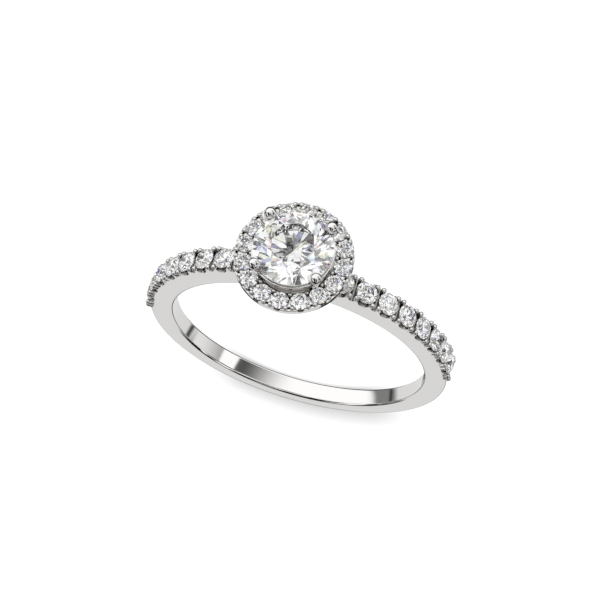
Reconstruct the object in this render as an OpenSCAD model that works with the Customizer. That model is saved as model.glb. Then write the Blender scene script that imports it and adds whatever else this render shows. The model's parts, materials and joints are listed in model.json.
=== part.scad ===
// Halo ring: a round brilliant in four prongs, a round halo of small brilliants
// about it, and a row of brilliants set along each shoulder of a slim band.
// The ring is first worked out with the finger hole along Z and the head
// towards +Y. It is then laid on its side, as it rests on a table: the edge of
// the halo and the back of the band touch the plane z = 0.

/* [Finger hole] */
// Radius of the finger hole
finger_r = 8.25; // [8:0.05:8.5]
// Rounding of the two edges of the finger hole
hole_edge_r = 0.15; // [0.1:0.01:0.18]

/* [Band] */
// Width of the band at the back
back_w = 1.22; // [1.16:0.01:1.3]
// Width of the band under the head
head_w = 1.6; // [1.5:0.01:1.7]
// Thickness of the band at the back
back_t = 1.1; // [1:0.01:1.2]
// Thickness of the plain band where it meets the shoulder stones
side_t = 1.42; // [1.36:0.01:1.46]
// Rounding of the band's outer edges and of the halo's lower edge
edge_r = 0.08; // [0.05:0.01:0.1]

/* [Shoulder stones] */
// Stones along each shoulder
shoulder_count = 8; // [6:1:8]
// Radius of a shoulder stone
shoulder_r = 0.63; // [0.58:0.01:0.64]
// Angle of the lowest shoulder stone above the middle of the finger hole
shoulder_first = 10.9; // [10.5:0.1:11.3]
// Angle from one shoulder stone to the next
shoulder_step = 8.85; // [8.8:0.05:8.9]
// Height of the shoulder's rim over the finger hole, abreast of the hole's middle
shoulder_t = 1.52; // [1.5:0.01:1.56]
// Rise of the shoulder's rim from there to the head
shoulder_rise = 0.25; // [0.2:0.01:0.28]
// Radius of the round cut in the band's sides under each stone
scallop_r = 0.35; // [0.3:0.01:0.38]
// Radius of the grain that holds a shoulder stone
shoulder_grain_r = 0.18; // [0.16:0.01:0.19]

/* [Halo] */
// Stones in the halo
halo_count = 16; // [16:1:16]
// Radius of a halo stone
halo_stone_r = 0.53; // [0.5:0.01:0.54]
// Radius of the circle on which the halo stones sit
halo_circle_r = 2.95; // [2.93:0.01:2.98]
// Outer radius of the halo plate
halo_r = 3.52; // [3.5:0.01:3.56]
// Thickness of the halo plate
halo_t = 0.42; // [0.4:0.01:0.46]
// Height of the plate's lower face over the middle of the finger hole
halo_h = 11.1; // [11.05:0.01:11.2]
// Radius of the grains of the halo's outer edge
halo_grain_r = 0.16; // [0.14:0.01:0.17]

/* [Centre stone] */
// Radius of the centre stone
centre_r = 2.35; // [2.3:0.01:2.38]
// Height of the centre stone's girdle over the middle of the finger hole
centre_h = 12.49; // [12.45:0.01:12.55]
// Angle of the centre stone's kites from the line through the shoulders
centre_turn = 6.4; // [0:0.1:45]
// Radius of a prong
prong_r = 0.31; // [0.28:0.01:0.33]
// Radius of the ball on a prong
ball_r = 0.365; // [0.35:0.005:0.37]
// Distance of the balls from the head's middle line
ball_reach = 2.506; // [2.5:0.002:2.53]
// Height of the balls' middles over the centre stone's girdle
ball_rise = 0.39; // [0.38:0.01:0.42]
// Lean of the prongs, outwards and up
prong_lean = 15; // [13:1:16]
// Angle of the prongs from the line through the shoulders
prong_angle = 42.4; // [42:0.1:45]

/* [Cut of the stones] */
// Width of the table as a share of the stone's width
table_share = 0.56; // [0.53:0.01:0.6]
// Slope of the crown
crown_angle = 34.5; // [33:0.5:36]
// Slope of the pavilion
pavilion_angle = 40.8; // [40:0.1:41.5]
// Height of the girdle as a share of the stone's width
girdle_share = 0.03; // [0.02:0.005:0.035]
// Reach of the star facets between table and girdle
star_share = 0.5; // [0.45:0.05:0.55]
// Reach of the lower girdle facets from girdle to point
lower_share = 0.77; // [0.74:0.01:0.8]
// Gap between a stone and the metal about it
stone_gap = 0.02; // [0.02:0.005:0.03]

/* [Hidden] */
$fn = 64;
metal = [0.83, 0.82, 0.81];
gem = [0.93, 0.95, 0.98];
// The band's outline is a circle whose middle lies towards the head, so that
// the band is thickest there.
back_r = finger_r + back_t;
side_r = finger_r + side_t;
outline_shift = (side_r * side_r - back_r * back_r) / (2 * back_r);
outline_r = back_r + outline_shift;
shoulder_outline_r = finger_r + shoulder_t;
taper = atan((head_w - back_w) / 2 / (shoulder_outline_r + shoulder_rise));
// A round edge's cutter reaches this much over it, so that the surfaces cross.
cut_over = 0.01;
// Every other cutter runs this far past what it cuts.
past = 1;
// The shoulder begins before the first stone, and a ramp leads up to it.
shoulder_start = shoulder_first - shoulder_step * 0.72;
ramp_angle = 3;
ramp_overlap = 0.03;
// The shoulder's grains stand this far to each side of the band's middle line
// and of the gap's, and their middles this far over the rim.
grain_side = 0.62;
grain_spread = 0.26;
grain_lift = 0.04;
// The groove across the band between two shoulder stones.
groove_r = 0.075;
groove_depth = 0.2;
// The halo's grains stand in pairs at its outer edge, one for each gap inside.
halo_grain_circle = 3.33;
halo_grain_angle = 3;
inner_grain_r = 0.17;
inner_grain_circle = 2.49;
// The small stones' girdles stand this far over the metal, and each halo stone
// has a hole drilled below it.
stone_rise = 0.05;
halo_stone_h = halo_h + halo_t + stone_rise;
halo_hole_r = 0.2;
halo_scallop_r = 0.28;
halo_scallop_reach = 0.34;
// The cup below the centre stone: its wall flares out to a lip.
cup_hole_r = 2.0;
cup_r = 2.25;
cup_lip_r = 2.45;
cup_lip_t = 0.1;
cup_top = centre_h - 0.22;
cup_flare = 0.22;
// The gallery ring joins the prongs' feet to the band.
gallery_r = 1.82;
gallery_w = 0.5;
gallery_low = 9.72;
gallery_t = 0.6;
prong_foot_h = gallery_low + gallery_t / 2;
// The ring lies on the halo's rounded lower edge and on the edge of the band's
// back: the plane z = 0 passes through the one and touches the other.
edge_corner = sqrt(pow(edge_r + cut_over, 2) - edge_r * edge_r) - edge_r;
lie_run = halo_h + edge_r + back_r + edge_corner;
lie_fall = halo_r - edge_r - back_w / 2;
lie_tilt = atan(lie_fall / lie_run) + asin(edge_r / norm([lie_run, lie_fall]));
lie_lift = back_w / 2 * cos(lie_tilt) + (back_r + edge_corner) * sin(lie_tilt);
head_reach = (centre_h + ball_rise) * cos(lie_tilt) + ball_r
    + ball_reach * sin(prong_angle) * sin(lie_tilt);
back_reach = back_r * cos(lie_tilt) + (back_w / 2 + edge_corner) * sin(lie_tilt);
lie_back = (back_reach - head_reach) / 2;

// Distance from the hole's middle to a circle of radius r whose middle lies
// up from it towards the head, along a ray at the angle a.
function outline_at(r, up, a) = up * sin(a) + sqrt(r * r - pow(up * cos(a), 2));
function shoulder_rim(a) = outline_at(shoulder_outline_r, shoulder_rise, a);
function shoulder_angle(i) = shoulder_first + (i - 1) * shoulder_step;
function halo_angle(i) = (i - 1) * 360 / halo_count;
function halo_name(i) = str("halo_stone_", i < 10 ? "0" : "", i);

// Heights of the cut of a stone, from its girdle's middle.
function girdle_half(r) = r * girdle_share;
function table_h(r) = girdle_half(r) + r * (1 - table_share) * tan(crown_angle);
function culet_h(r) = girdle_half(r) + r * tan(pavilion_angle);

// Lay the ring on its side.
module laid() {
    translate([0, lie_back, lie_lift]) rotate([lie_tilt, 0, 0]) children();
}

// Stand something on the band at the angle a and the distance r, with its Z
// pointing out of the ring, its Y along the band and its X across it.
module on_band(a, r) {
    rotate([0, 0, a]) translate([r, 0, 0]) rotate([0, 90, 0]) children();
}

// Both shoulders of what is made for the right one.
module both_shoulders() {
    children();
    mirror([1, 0, 0]) children();
}

// Turn the head's own Z towards the head's side of the ring.
module in_head() {
    rotate([-90, 0, 0]) children();
}

// A round brilliant with its girdle at z = 0: an eight-sided table, eight star
// facets, eight kites and sixteen girdle facets above, and eight kites and
// sixteen girdle facets below.
module brilliant(r) {
    table_r = r * table_share;
    star_r = table_r * cos(22.5) + star_share * (r - table_r * cos(22.5));
    lower_r = r * (1 - lower_share);
    star_h = girdle_half(r) + (r - star_r * cos(22.5)) * tan(crown_angle);
    lower_h = girdle_half(r) + (r - lower_r * cos(22.5)) * tan(pavilion_angle);
    points = concat(
        [for (k = [0 : 7]) [table_r * cos(45 * k), table_r * sin(45 * k), table_h(r)]],
        [for (k = [0 : 7]) [star_r * cos(45 * k + 22.5), star_r * sin(45 * k + 22.5), star_h]],
        [for (k = [0 : 15]) [r * cos(22.5 * k), r * sin(22.5 * k), girdle_half(r)]],
        [for (k = [0 : 15]) [r * cos(22.5 * k), r * sin(22.5 * k), -girdle_half(r)]],
        [for (k = [0 : 7]) [lower_r * cos(45 * k + 22.5), lower_r * sin(45 * k + 22.5), -lower_h]],
        [[0, 0, -culet_h(r)]]);
    table = 0; star = 8; upper = 16; lower = 32; pavilion = 48; culet = 56;
    faces = concat(
        [[for (k = [7 : -1 : 0]) table + k]],
        [for (k = [0 : 7]) [table + k, table + (k + 1) % 8, star + k]],
        [for (k = [0 : 7]) [table + k, star + k, upper + 2 * k, star + (k + 7) % 8]],
        [for (k = [0 : 7]) [star + k, upper + 2 * k + 1, upper + 2 * k]],
        [for (k = [0 : 7]) [star + k, upper + (2 * k + 2) % 16, upper + 2 * k + 1]],
        [for (k = [0 : 15]) [upper + k, upper + (k + 1) % 16, lower + (k + 1) % 16, lower + k]],
        [for (k = [0 : 7]) [pavilion + k, lower + 2 * k, lower + 2 * k + 1]],
        [for (k = [0 : 7]) [pavilion + k, lower + 2 * k + 1, lower + (2 * k + 2) % 16]],
        [for (k = [0 : 7]) [culet, pavilion + (k + 7) % 8, lower + 2 * k, pavilion + k]]);
    color(gem) polyhedron(points, faces);
}

// The room that a stone needs in the metal: its outline turned about its axis,
// moved out by the gap all round.
module stone_room(r) {
    wide = r + stone_gap;
    top = table_h(r) + stone_gap;
    crown_corner = stone_gap * tan(crown_angle / 2);
    pavilion_corner = stone_gap * tan(pavilion_angle / 2);
    rotate_extrude() polygon([
        [0, -culet_h(r) - stone_gap / cos(pavilion_angle)],
        [wide, -girdle_half(r) - pavilion_corner], [wide, girdle_half(r) + crown_corner],
        [r * table_share + crown_corner, top], [0, top]]);
}

// A flat ring about Z with a rounded lower outer edge, from its inner to its
// outer radius and from z = 0 up.
module flat_ring(inner, outer, height) {
    rotate_extrude() difference() {
        translate([inner, 0]) square([outer - inner, height]);
        difference() {
            translate([outer - edge_r, -past]) square([edge_r + past, past + edge_r]);
            translate([outer - edge_r, edge_r]) circle(edge_r);
        }
    }
}

// The ray at the angle a, for the right side or mirrored for the left one.
function ray(a, side) = [side * cos(a), sin(a)];

// The band's outline seen along the finger hole: the plain band, and the
// shoulders that stand over it with a short ramp at their lower ends.
module band_outline() {
    far = 2 * shoulder_outline_r;
    ramp_low = (side_r - ramp_overlap) * [for (side = [-1, 1]) ray(shoulder_start - ramp_angle, side)];
    ramp_top = (shoulder_rim(shoulder_start) + ramp_overlap)
        * [for (side = [-1, 1]) ray(shoulder_start, side)];
    translate([0, outline_shift]) circle(outline_r, $fn = 180);
    intersection() {
        translate([0, shoulder_rise]) circle(shoulder_outline_r, $fn = 180);
        polygon([ramp_low[0], [0, 0], ramp_low[1], ramp_top[1],
            far * ray(shoulder_start + ramp_angle, 1), [0, far],
            far * ray(shoulder_start + ramp_angle, -1), ramp_top[0]]);
    }
}

// The space between the band's two sides, which part towards the head.
module band_sides() {
    far = 2 * shoulder_outline_r;
    wide = back_w / 2 + far * tan(taper);
    rotate([0, -90, 0]) translate([0, 0, -far]) linear_extrude(2 * far) polygon([
        [-back_w / 2, -far], [back_w / 2, -far], [back_w / 2, 0],
        [wide, far], [-wide, far], [-back_w / 2, 0]]);
}

// What rounds the band's outer edge below the middle of the hole: z = 0 is the
// side face.
module outer_edge() {
    translate([0, outline_shift, 0]) mirror([0, 1, 0]) rotate_extrude(angle = 180) difference() {
        translate([outline_r - edge_r, -edge_r]) square(past);
        translate([outline_r - edge_r, -edge_r]) circle(edge_r + cut_over);
    }
}

// What rounds one edge of one half of the finger hole: z = 0 is the side face.
module hole_mouth() {
    rotate_extrude(angle = 180) difference() {
        translate([finger_r - hole_edge_r, -hole_edge_r]) square([2 * hole_edge_r, past]);
        translate([finger_r + hole_edge_r, -hole_edge_r]) circle(hole_edge_r + cut_over);
    }
}

// The band without its cuts for the stones.
module plain_band() {
    difference() {
        intersection() {
            translate([0, 0, -head_w]) linear_extrude(2 * head_w) band_outline();
            band_sides();
        }
        translate([0, 0, -2 * head_w]) cylinder(r = finger_r, h = 4 * head_w, $fn = 180);
        for (side = [0, 1]) mirror([0, 0, side]) translate([0, 0, back_w / 2]) {
            rotate([taper, 0, 0]) hole_mouth();
            mirror([0, 1, 0]) hole_mouth();
            outer_edge();
        }
    }
}

// The round cuts under the stones of one shoulder, and the grooves between them.
module shoulder_cuts() {
    for (i = [1 : shoulder_count])
        on_band(shoulder_angle(i), shoulder_rim(shoulder_angle(i)))
            rotate([0, 90, 0]) translate([0, 0, -head_w]) cylinder(r = scallop_r, h = 2 * head_w);
    for (i = [0 : shoulder_count]) {
        a = shoulder_angle(i + 0.5);
        on_band(a, shoulder_rim(a) - groove_depth + groove_r) {
            rotate([0, 90, 0]) translate([0, 0, -head_w]) cylinder(r = groove_r, h = 2 * head_w);
            translate([-head_w, -groove_r, 0]) cube([2 * head_w, 2 * groove_r, past]);
        }
    }
}

// The grains of one shoulder: two at each side of the band in every gap. The
// last gap has only those on the stone's side, as the head stands on the rest.
module shoulder_grains() {
    for (i = [0 : shoulder_count], side = [-1, 1], along = i < shoulder_count ? [-1, 1] : [-1]) {
        a = shoulder_angle(i + 0.5);
        on_band(a, shoulder_rim(a) + grain_lift)
            translate([side * grain_side, along * grain_spread, 0])
                sphere(shoulder_grain_r);
    }
}

// Place something at each stone of one shoulder.
module at_shoulder_stone(i) {
    on_band(shoulder_angle(i), shoulder_rim(shoulder_angle(i)) + stone_rise) children();
}

// Place something at a halo stone, counted round from the right shoulder.
module at_halo_stone(i) {
    rotate([0, 0, halo_angle(i)]) translate([halo_circle_r, 0, halo_stone_h]) children();
}

// The plate of the halo, with a round cut in its wall outside each stone.
module halo_plate() {
    difference() {
        translate([0, 0, halo_h]) flat_ring(cup_hole_r, halo_r, halo_t);
        for (i = [1 : halo_count])
            rotate([0, 0, halo_angle(i)])
                translate([halo_r - halo_scallop_reach, 0, halo_h + halo_t])
                    rotate([0, 90, 0]) cylinder(r = halo_scallop_r, h = past);
    }
}

// The grains of the halo: a pair outside and one inside, in every gap.
module halo_grains() {
    for (i = [1 : halo_count]) rotate([0, 0, halo_angle(i + 0.5)]) {
        for (side = [-1, 1])
            rotate([0, 0, side * halo_grain_angle])
                translate([halo_grain_circle, 0, halo_h + halo_t]) sphere(halo_grain_r);
        translate([inner_grain_circle, 0, halo_h + halo_t]) sphere(inner_grain_r);
    }
}

// The cup that carries the centre stone's pavilion.
module cup() {
    rotate_extrude() polygon([
        [cup_hole_r, halo_h], [cup_r, halo_h], [cup_r, cup_top - cup_flare - cup_lip_t],
        [cup_lip_r, cup_top - cup_lip_t], [cup_lip_r, cup_top], [cup_hole_r, cup_top]]);
}

// A prong with its ball, leaning out from the gallery ring.
module prong() {
    rise = centre_h + ball_rise - prong_foot_h;
    translate([ball_reach, 0, centre_h + ball_rise]) {
        sphere(ball_r);
        rotate([0, prong_lean, 0]) translate([0, 0, -rise / cos(prong_lean)])
            cylinder(r = prong_r, h = rise / cos(prong_lean));
    }
}

// The head without its stones' seats.
module head_metal() {
    translate([0, 0, gallery_low]) rotate_extrude()
        translate([gallery_r - gallery_w / 2, 0]) square([gallery_w, gallery_t]);
    halo_plate();
    halo_grains();
    cup();
    for (a = [prong_angle, 180 - prong_angle, 180 + prong_angle, -prong_angle])
        rotate([0, 0, a]) prong();
}

// The room of the head's stones, with the hole below each halo stone.
module head_seats() {
    translate([0, 0, centre_h]) stone_room(centre_r);
    for (i = [1 : halo_count]) at_halo_stone(i) {
        stone_room(halo_stone_r);
        translate([0, 0, -past]) cylinder(r = halo_hole_r, h = past);
    }
}

// The band with the head soldered on.
module band_and_head() {
    difference() {
        plain_band();
        both_shoulders() shoulder_cuts();
    }
    in_head() head_metal();
}

// The whole metal of the ring, soldered into one piece.
module ring_mount() {
    color(metal) laid() difference() {
        union() {
            union() band_and_head();
            both_shoulders() shoulder_grains();
        }
        both_shoulders() for (i = [1 : shoulder_count]) at_shoulder_stone(i) stone_room(shoulder_r);
        in_head() head_seats();
    }
}

module centre_stone() {
    laid() in_head() translate([0, 0, centre_h]) rotate([0, 0, -centre_turn]) brilliant(centre_r);
}

module halo_stone(i) {
    laid() in_head() at_halo_stone(i) brilliant(halo_stone_r);
}

module right_stone(i) {
    laid() at_shoulder_stone(i) brilliant(shoulder_r);
}

module left_stone(i) {
    laid() mirror([1, 0, 0]) at_shoulder_stone(i) brilliant(shoulder_r);
}

ring_mount();
centre_stone();
for (i = [1 : halo_count])
    halo_stone(i);
for (i = [1 : shoulder_count]) {
    left_stone(i);
    right_stone(i);
}
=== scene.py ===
"""A halo ring of polished white gold with round brilliants, lying on a pale table.

The ring's sizes are in millimetres in its own frame, whose three directions are
across the shoulders, towards the head and along the finger hole, with the
middle of the finger hole at its origin. RingPlace lays that frame where the
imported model's finger hole is. Angles are in degrees, unless a class says
otherwise.
"""

from __future__ import annotations

import json
import logging
import math
import random
from dataclasses import dataclass, field
from enum import Enum
from typing import Sequence

import bpy
import numpy as np
from bpy.types import ColorRamp, Material, Mesh, Node, NodeSocket, NodeTree, Object
from mathutils import Matrix, Vector


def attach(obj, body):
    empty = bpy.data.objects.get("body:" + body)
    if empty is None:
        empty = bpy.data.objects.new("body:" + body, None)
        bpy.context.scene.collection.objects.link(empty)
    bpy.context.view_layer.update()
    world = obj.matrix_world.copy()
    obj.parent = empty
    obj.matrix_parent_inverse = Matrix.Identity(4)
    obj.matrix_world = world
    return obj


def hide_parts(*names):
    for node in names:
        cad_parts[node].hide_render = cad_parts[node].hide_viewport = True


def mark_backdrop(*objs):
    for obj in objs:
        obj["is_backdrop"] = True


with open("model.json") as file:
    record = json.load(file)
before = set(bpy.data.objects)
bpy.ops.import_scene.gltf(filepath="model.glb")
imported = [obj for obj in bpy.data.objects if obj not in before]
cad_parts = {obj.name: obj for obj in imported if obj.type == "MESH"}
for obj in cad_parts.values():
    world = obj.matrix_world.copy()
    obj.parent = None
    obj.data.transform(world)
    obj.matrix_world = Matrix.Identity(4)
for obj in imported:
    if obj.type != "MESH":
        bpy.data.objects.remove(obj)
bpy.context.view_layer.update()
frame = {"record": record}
log = logging.getLogger("halo_ring")

MM = 0.001
BODY = "root"
MOUNT_NODE = "ring_mount"
FINGER_MOUNT = "finger_hole"
TINT_NAME = "facet_tint"
STONE_SEED = 16
WHITE = (1.0, 1.0, 1.0)

# A point nearer to its axis than this is a pole.
ON_AXIS = 1e-9

Face = Sequence[int]
Shape = tuple[np.ndarray, list[Face]]
Outline = list[tuple[float, float]]
Triple = tuple[float, float, float]


class Slot(Enum):
    """The record's material slots."""

    WHITE_GOLD = "white_gold"
    BRILLIANT_STONE = "brilliant_stone"


class Side(Enum):
    """The two shoulders, by the sign of their place across the ring."""

    LEFT = -1
    RIGHT = 1


class Crease(Enum):
    """The angle above which a piece's edges stay sharp, or None for flat facets."""

    FACETS = None
    LIPPED = 25.0
    PLAIN = 32.0
    ROUND = 40.0


@dataclass(frozen=True)
class RingPlace:
    """Where the ring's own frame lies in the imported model."""

    centre: Vector
    across: Vector
    head: Vector
    finger: Vector

    @classmethod
    def from_record(cls, record: dict) -> RingPlace:
        """Read the place from the finger hole's mount.

        Args:
            record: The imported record.

        Returns:
            The place, whose across direction is the model's X.
        """
        mount = next(m for m in record["mounts"] if m["name"] == FINGER_MOUNT)
        across = Vector((1.0, 0.0, 0.0))
        finger = Vector(mount["axis"]).normalized()
        return cls(Vector(mount["pos_m"]), across, finger.cross(across).normalized(), finger)

    def direction(self, across: float, head: float, finger: float) -> Vector:
        """Turn a direction of the ring's frame into one of the model's."""
        return across * self.across + head * self.head + finger * self.finger

    def matrix(self) -> Matrix:
        """The matrix from the ring's millimetres to the model's metres."""
        turn = Matrix((self.across, self.head, self.finger)).transposed().to_4x4()
        return Matrix.Translation(self.centre) @ turn @ Matrix.Scale(MM, 4)


# Shader nodes


class Wire:
    """One output of a node tree. Arithmetic on it adds Math nodes."""

    def __init__(self, bench: NodeBench, socket: NodeSocket) -> None:
        """Keep the socket and the bench that adds nodes to its tree."""
        self.bench = bench
        self.socket = socket

    def __add__(self, other: Wire | float) -> Wire:
        """Add a number or wire."""
        return self.bench.math("ADD", self, other)

    def __radd__(self, other: float) -> Wire:
        """Add this wire to a number."""
        return self.bench.math("ADD", other, self)

    def __sub__(self, other: Wire | float) -> Wire:
        """Take a number or wire away."""
        return self.bench.math("SUBTRACT", self, other)

    def __rsub__(self, other: float) -> Wire:
        """Take this wire from a number."""
        return self.bench.math("SUBTRACT", other, self)

    def __mul__(self, other: Wire | float) -> Wire:
        """Multiply by a number or wire."""
        return self.bench.math("MULTIPLY", self, other)

    def __truediv__(self, other: Wire | float) -> Wire:
        """Divide by a number or wire."""
        return self.bench.math("DIVIDE", self, other)


class NodeBench:
    """Adds nodes to one tree and wires them up."""

    def __init__(self, tree: NodeTree) -> None:
        """Keep the tree."""
        self.tree = tree

    def add(self, kind: str, settings: dict | None = None, inputs: dict | None = None) -> Node:
        """Add any node.

        Args:
            kind: The node's type name.
            settings: Its properties, set before its sockets. The key stops
                holds a colour ramp's stops as pairs of place and level.
            inputs: Values or wires of its sockets, by name or number.

        Returns:
            The node.
        """
        node = self.tree.nodes.new(kind)
        for name, value in (settings or {}).items():
            if name == "stops":
                self._set_stops(node.color_ramp, value)
            else:
                setattr(node, name, value)
        self.fill(node, inputs or {})
        return node

    def _set_stops(self, ramp: ColorRamp, stops: Sequence[tuple[float, float]]) -> None:
        """Give a colour ramp its stops.

        Args:
            ramp: The ramp.
            stops: Each stop's place and its level of grey.
        """
        while len(ramp.elements) < len(stops):
            ramp.elements.new(1.0)
        for element, (place, level) in zip(ramp.elements, stops):
            element.position = place
            element.color = (level, level, level, 1.0)

    def fill(self, node: Node, inputs: dict) -> None:
        """Feed several of a node's sockets, by name or number."""
        for key, value in inputs.items():
            self.feed(node.inputs[key], value)

    def feed(self, socket: NodeSocket, value: object) -> None:
        """Link a wire to a socket, or set the socket's value.

        Args:
            socket: The socket.
            value: A wire, or what the socket holds without one.
        """
        if isinstance(value, Wire):
            self.tree.links.new(value.socket, socket)
        else:
            socket.default_value = value

    def wire(self, node: Node, output: str | int = 0) -> Wire:
        """One output of a node, ready for arithmetic."""
        return Wire(self, node.outputs[output])

    def math(self, operation: str, *values: Wire | float) -> Wire:
        """Add a Math node on numbers or wires."""
        return self.wire(self.add("ShaderNodeMath", {"operation": operation}, dict(enumerate(values))))

    def vector_math(self, operation: str, inputs: dict, output: str = "Vector") -> Wire:
        """Add a Vector Math node."""
        return self.wire(self.add("ShaderNodeVectorMath", {"operation": operation}, inputs), output)

    def scaled(self, colour: Triple, level: Wire | float) -> Wire:
        """A colour times a level."""
        return self.vector_math("SCALE", {0: colour, "Scale": level})

    def dot(self, look: Wire, direction: Vector) -> Wire:
        """How far a look goes along a direction."""
        return self.vector_math("DOT_PRODUCT", {0: look, 1: tuple(direction)}, "Value")

    def parts(self, vector: Wire) -> list[Wire]:
        """A vector's three parts."""
        node = self.add("ShaderNodeSeparateXYZ", inputs={0: vector})
        return [self.wire(node, i) for i in range(3)]

    def length(self, first: Wire, second: Wire) -> Wire:
        """The length of two parts at right angles."""
        return self.math("SQRT", first * first + second * second)

    def object_spot(self) -> Wire:
        """Object coordinates, in metres."""
        return self.wire(self.add("ShaderNodeTexCoord"), "Object")

    def noise(self, spot: Wire, scale: float, detail: float = 2.0, roughness: float = 0.5) -> Wire:
        """Smooth noise about a half.

        Args:
            spot: Where it is read.
            scale: How many waves it has in one unit of the spot.
            detail: How many finer layers it has.
            roughness: How strong those layers are.

        Returns:
            Its level.
        """
        return self.wire(self.add("ShaderNodeTexNoise", inputs={
            "Vector": spot, "Scale": scale, "Detail": detail, "Roughness": roughness}))

    def relief(self, height: Wire, depth: float, strength: float = 1.0) -> Wire:
        """The direction that a surface faces once it is raised.

        Args:
            height: How much of the depth it is raised by.
            depth: The depth, in metres.
            strength: The share of the raising that shows.

        Returns:
            The normal.
        """
        inputs = {"Strength": strength, "Distance": depth, "Height": height}
        return self.wire(self.add("ShaderNodeBump", inputs=inputs), "Normal")

    def between(self, value: Wire, low: float, high: float) -> Wire:
        """A smooth step.

        Args:
            value: What is measured.
            low: Where the step is 0.
            high: Where the step is 1.

        Returns:
            The step.
        """
        settings = {"interpolation_type": "SMOOTHSTEP", "clamp": True}
        inputs = {0: value, 1: low, 2: high, 3: 0.0, 4: 1.0}
        return self.wire(self.add("ShaderNodeMapRange", settings, inputs))

    def mix_value(self, factor: Wire, first: Wire | float, second: Wire | float) -> Wire:
        """Mix two numbers."""
        inputs = {0: factor, 2: first, 3: second}
        return self.wire(self.add("ShaderNodeMix", {"data_type": "FLOAT"}, inputs), 0)

    def blend(self, factor: Wire | float, first: Wire | Triple, second: Wire | Triple) -> Wire:
        """Mix two colours.

        Args:
            factor: The second colour's share.
            first: The first colour.
            second: The second colour.

        Returns:
            The mixed colour.
        """
        start, end = (c if isinstance(c, Wire) else (*c, 1.0) for c in (first, second))
        inputs = {0: factor, 6: start, 7: end}
        return self.wire(self.add("ShaderNodeMix", {"data_type": "RGBA"}, inputs), 2)


# Finishes


def start_finish(name: str) -> tuple[Material, NodeBench, Node]:
    """Start a material.

    Args:
        name: Its name.

    Returns:
        The material, a bench for its nodes and its surface shader.
    """
    material = bpy.data.materials.new(name)
    material.use_nodes = True
    return material, NodeBench(material.node_tree), material.node_tree.nodes["Principled BSDF"]


@dataclass(frozen=True)
class WhiteGold:
    """Polished white gold: fine polishing lines round the ring and a faint unevenness.

    Where less of the surroundings is open to it, shade is painted in: its colour turns to the painted shade
    tint.
    """

    name: str
    place: RingPlace
    tint: Triple = (0.83, 0.822, 0.812)
    roughness: float = 0.07
    lines_per_mm: float = 9.0
    lines_round: float = 1.5
    line_depth: float = 0.02
    line_relief: float = 0.4
    unevenness: float = 0.03
    wave_mm: float = 2.4
    wave_roughness: float = 0.45
    relief_mm: float = 0.02
    relief_strength: float = 0.03
    shade_reach_mm: float = 0.4
    shade_from: float = 0.25
    shade_to: float = 0.9
    shade_samples: int = 8
    # Painted shade: the colour that hollows, creases and gaps between parts turn to.
    painted_shade_tint: Triple = (0.12, 0.10, 0.085)

    def ring_spot(self, bench: NodeBench) -> Wire:
        """Object coordinates, turned and scaled into the ring's frame.

        Args:
            bench: The material's nodes.

        Returns:
            The place in the ring's millimetres.
        """
        back = self.place.matrix().inverted()
        return bench.wire(bench.add("ShaderNodeMapping", {"vector_type": "POINT"}, {
            "Vector": bench.object_spot(),
            "Location": back.to_translation(),
            "Rotation": back.to_euler("XYZ"),
            "Scale": back.to_scale(),
        }))

    def lines(self, bench: NodeBench, spot: Wire) -> Wire:
        """The polishing lines, which run round the finger hole.

        Args:
            bench: The material's nodes.
            spot: The place in the ring's millimetres.

        Returns:
            Their level, about a half.
        """
        across, head, finger = bench.parts(spot)
        radius = bench.length(across, head)
        stretched = bench.add("ShaderNodeCombineXYZ", inputs={
            0: across / radius * self.lines_round,
            1: head / radius * self.lines_round + radius * self.lines_per_mm,
            2: finger * self.lines_per_mm,
        })
        return bench.noise(bench.wire(stretched), 1.0)

    def make(self) -> Material:
        """Build the material.

        Returns:
            The material, whose changes read Object coordinates, apart from its painted shade, which reads
            how open the surroundings are.
        """
        material, bench, shader = start_finish(self.name)
        spot = self.ring_spot(bench)
        lines = self.lines(bench, spot)
        wave = bench.noise(spot, 1.0 / self.wave_mm, roughness=self.wave_roughness)
        # Painted shade: ambient occlusion darkens the colour where parts crowd close together.
        open_sky = bench.add("ShaderNodeAmbientOcclusion", {"samples": self.shade_samples}, {
            "Distance": self.shade_reach_mm * MM})
        unshaded = bench.between(bench.wire(open_sky, "AO"), self.shade_from, self.shade_to)
        plain = bench.scaled(self.tint, 1.0 - (wave - 0.5) * self.unevenness)
        height = lines * self.line_relief + wave
        bench.fill(shader, {
            "Metallic": 1.0,
            "Base Color": bench.blend(unshaded, self.painted_shade_tint, plain),
            "Roughness": self.roughness + (lines - 0.5) * self.line_depth,
            "Normal": bench.relief(height, self.relief_mm * MM, self.relief_strength),
        })
        return material


@dataclass(frozen=True)
class CutStone:
    """A colourless stone of high refraction, whose facets differ a little in tint."""

    name: str
    refraction: float = 2.42
    ripple_mm: float = 0.9
    ripple_depth_mm: float = 0.001

    def make(self) -> Material:
        """Build the material.

        Returns:
            The material, whose colour reads the facets' own tint.
        """
        material, bench, shader = start_finish(self.name)
        tint = bench.add("ShaderNodeAttribute", {"attribute_name": TINT_NAME})
        ripple = bench.noise(bench.object_spot(), 1.0 / (self.ripple_mm * MM), detail=0.0)
        bench.fill(shader, {
            "Base Color": bench.wire(tint, "Color"),
            "Normal": bench.relief(ripple, self.ripple_depth_mm * MM),
            "Roughness": 0.0,
            "IOR": self.refraction,
            "Transmission Weight": 1.0,
        })
        return material


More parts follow.
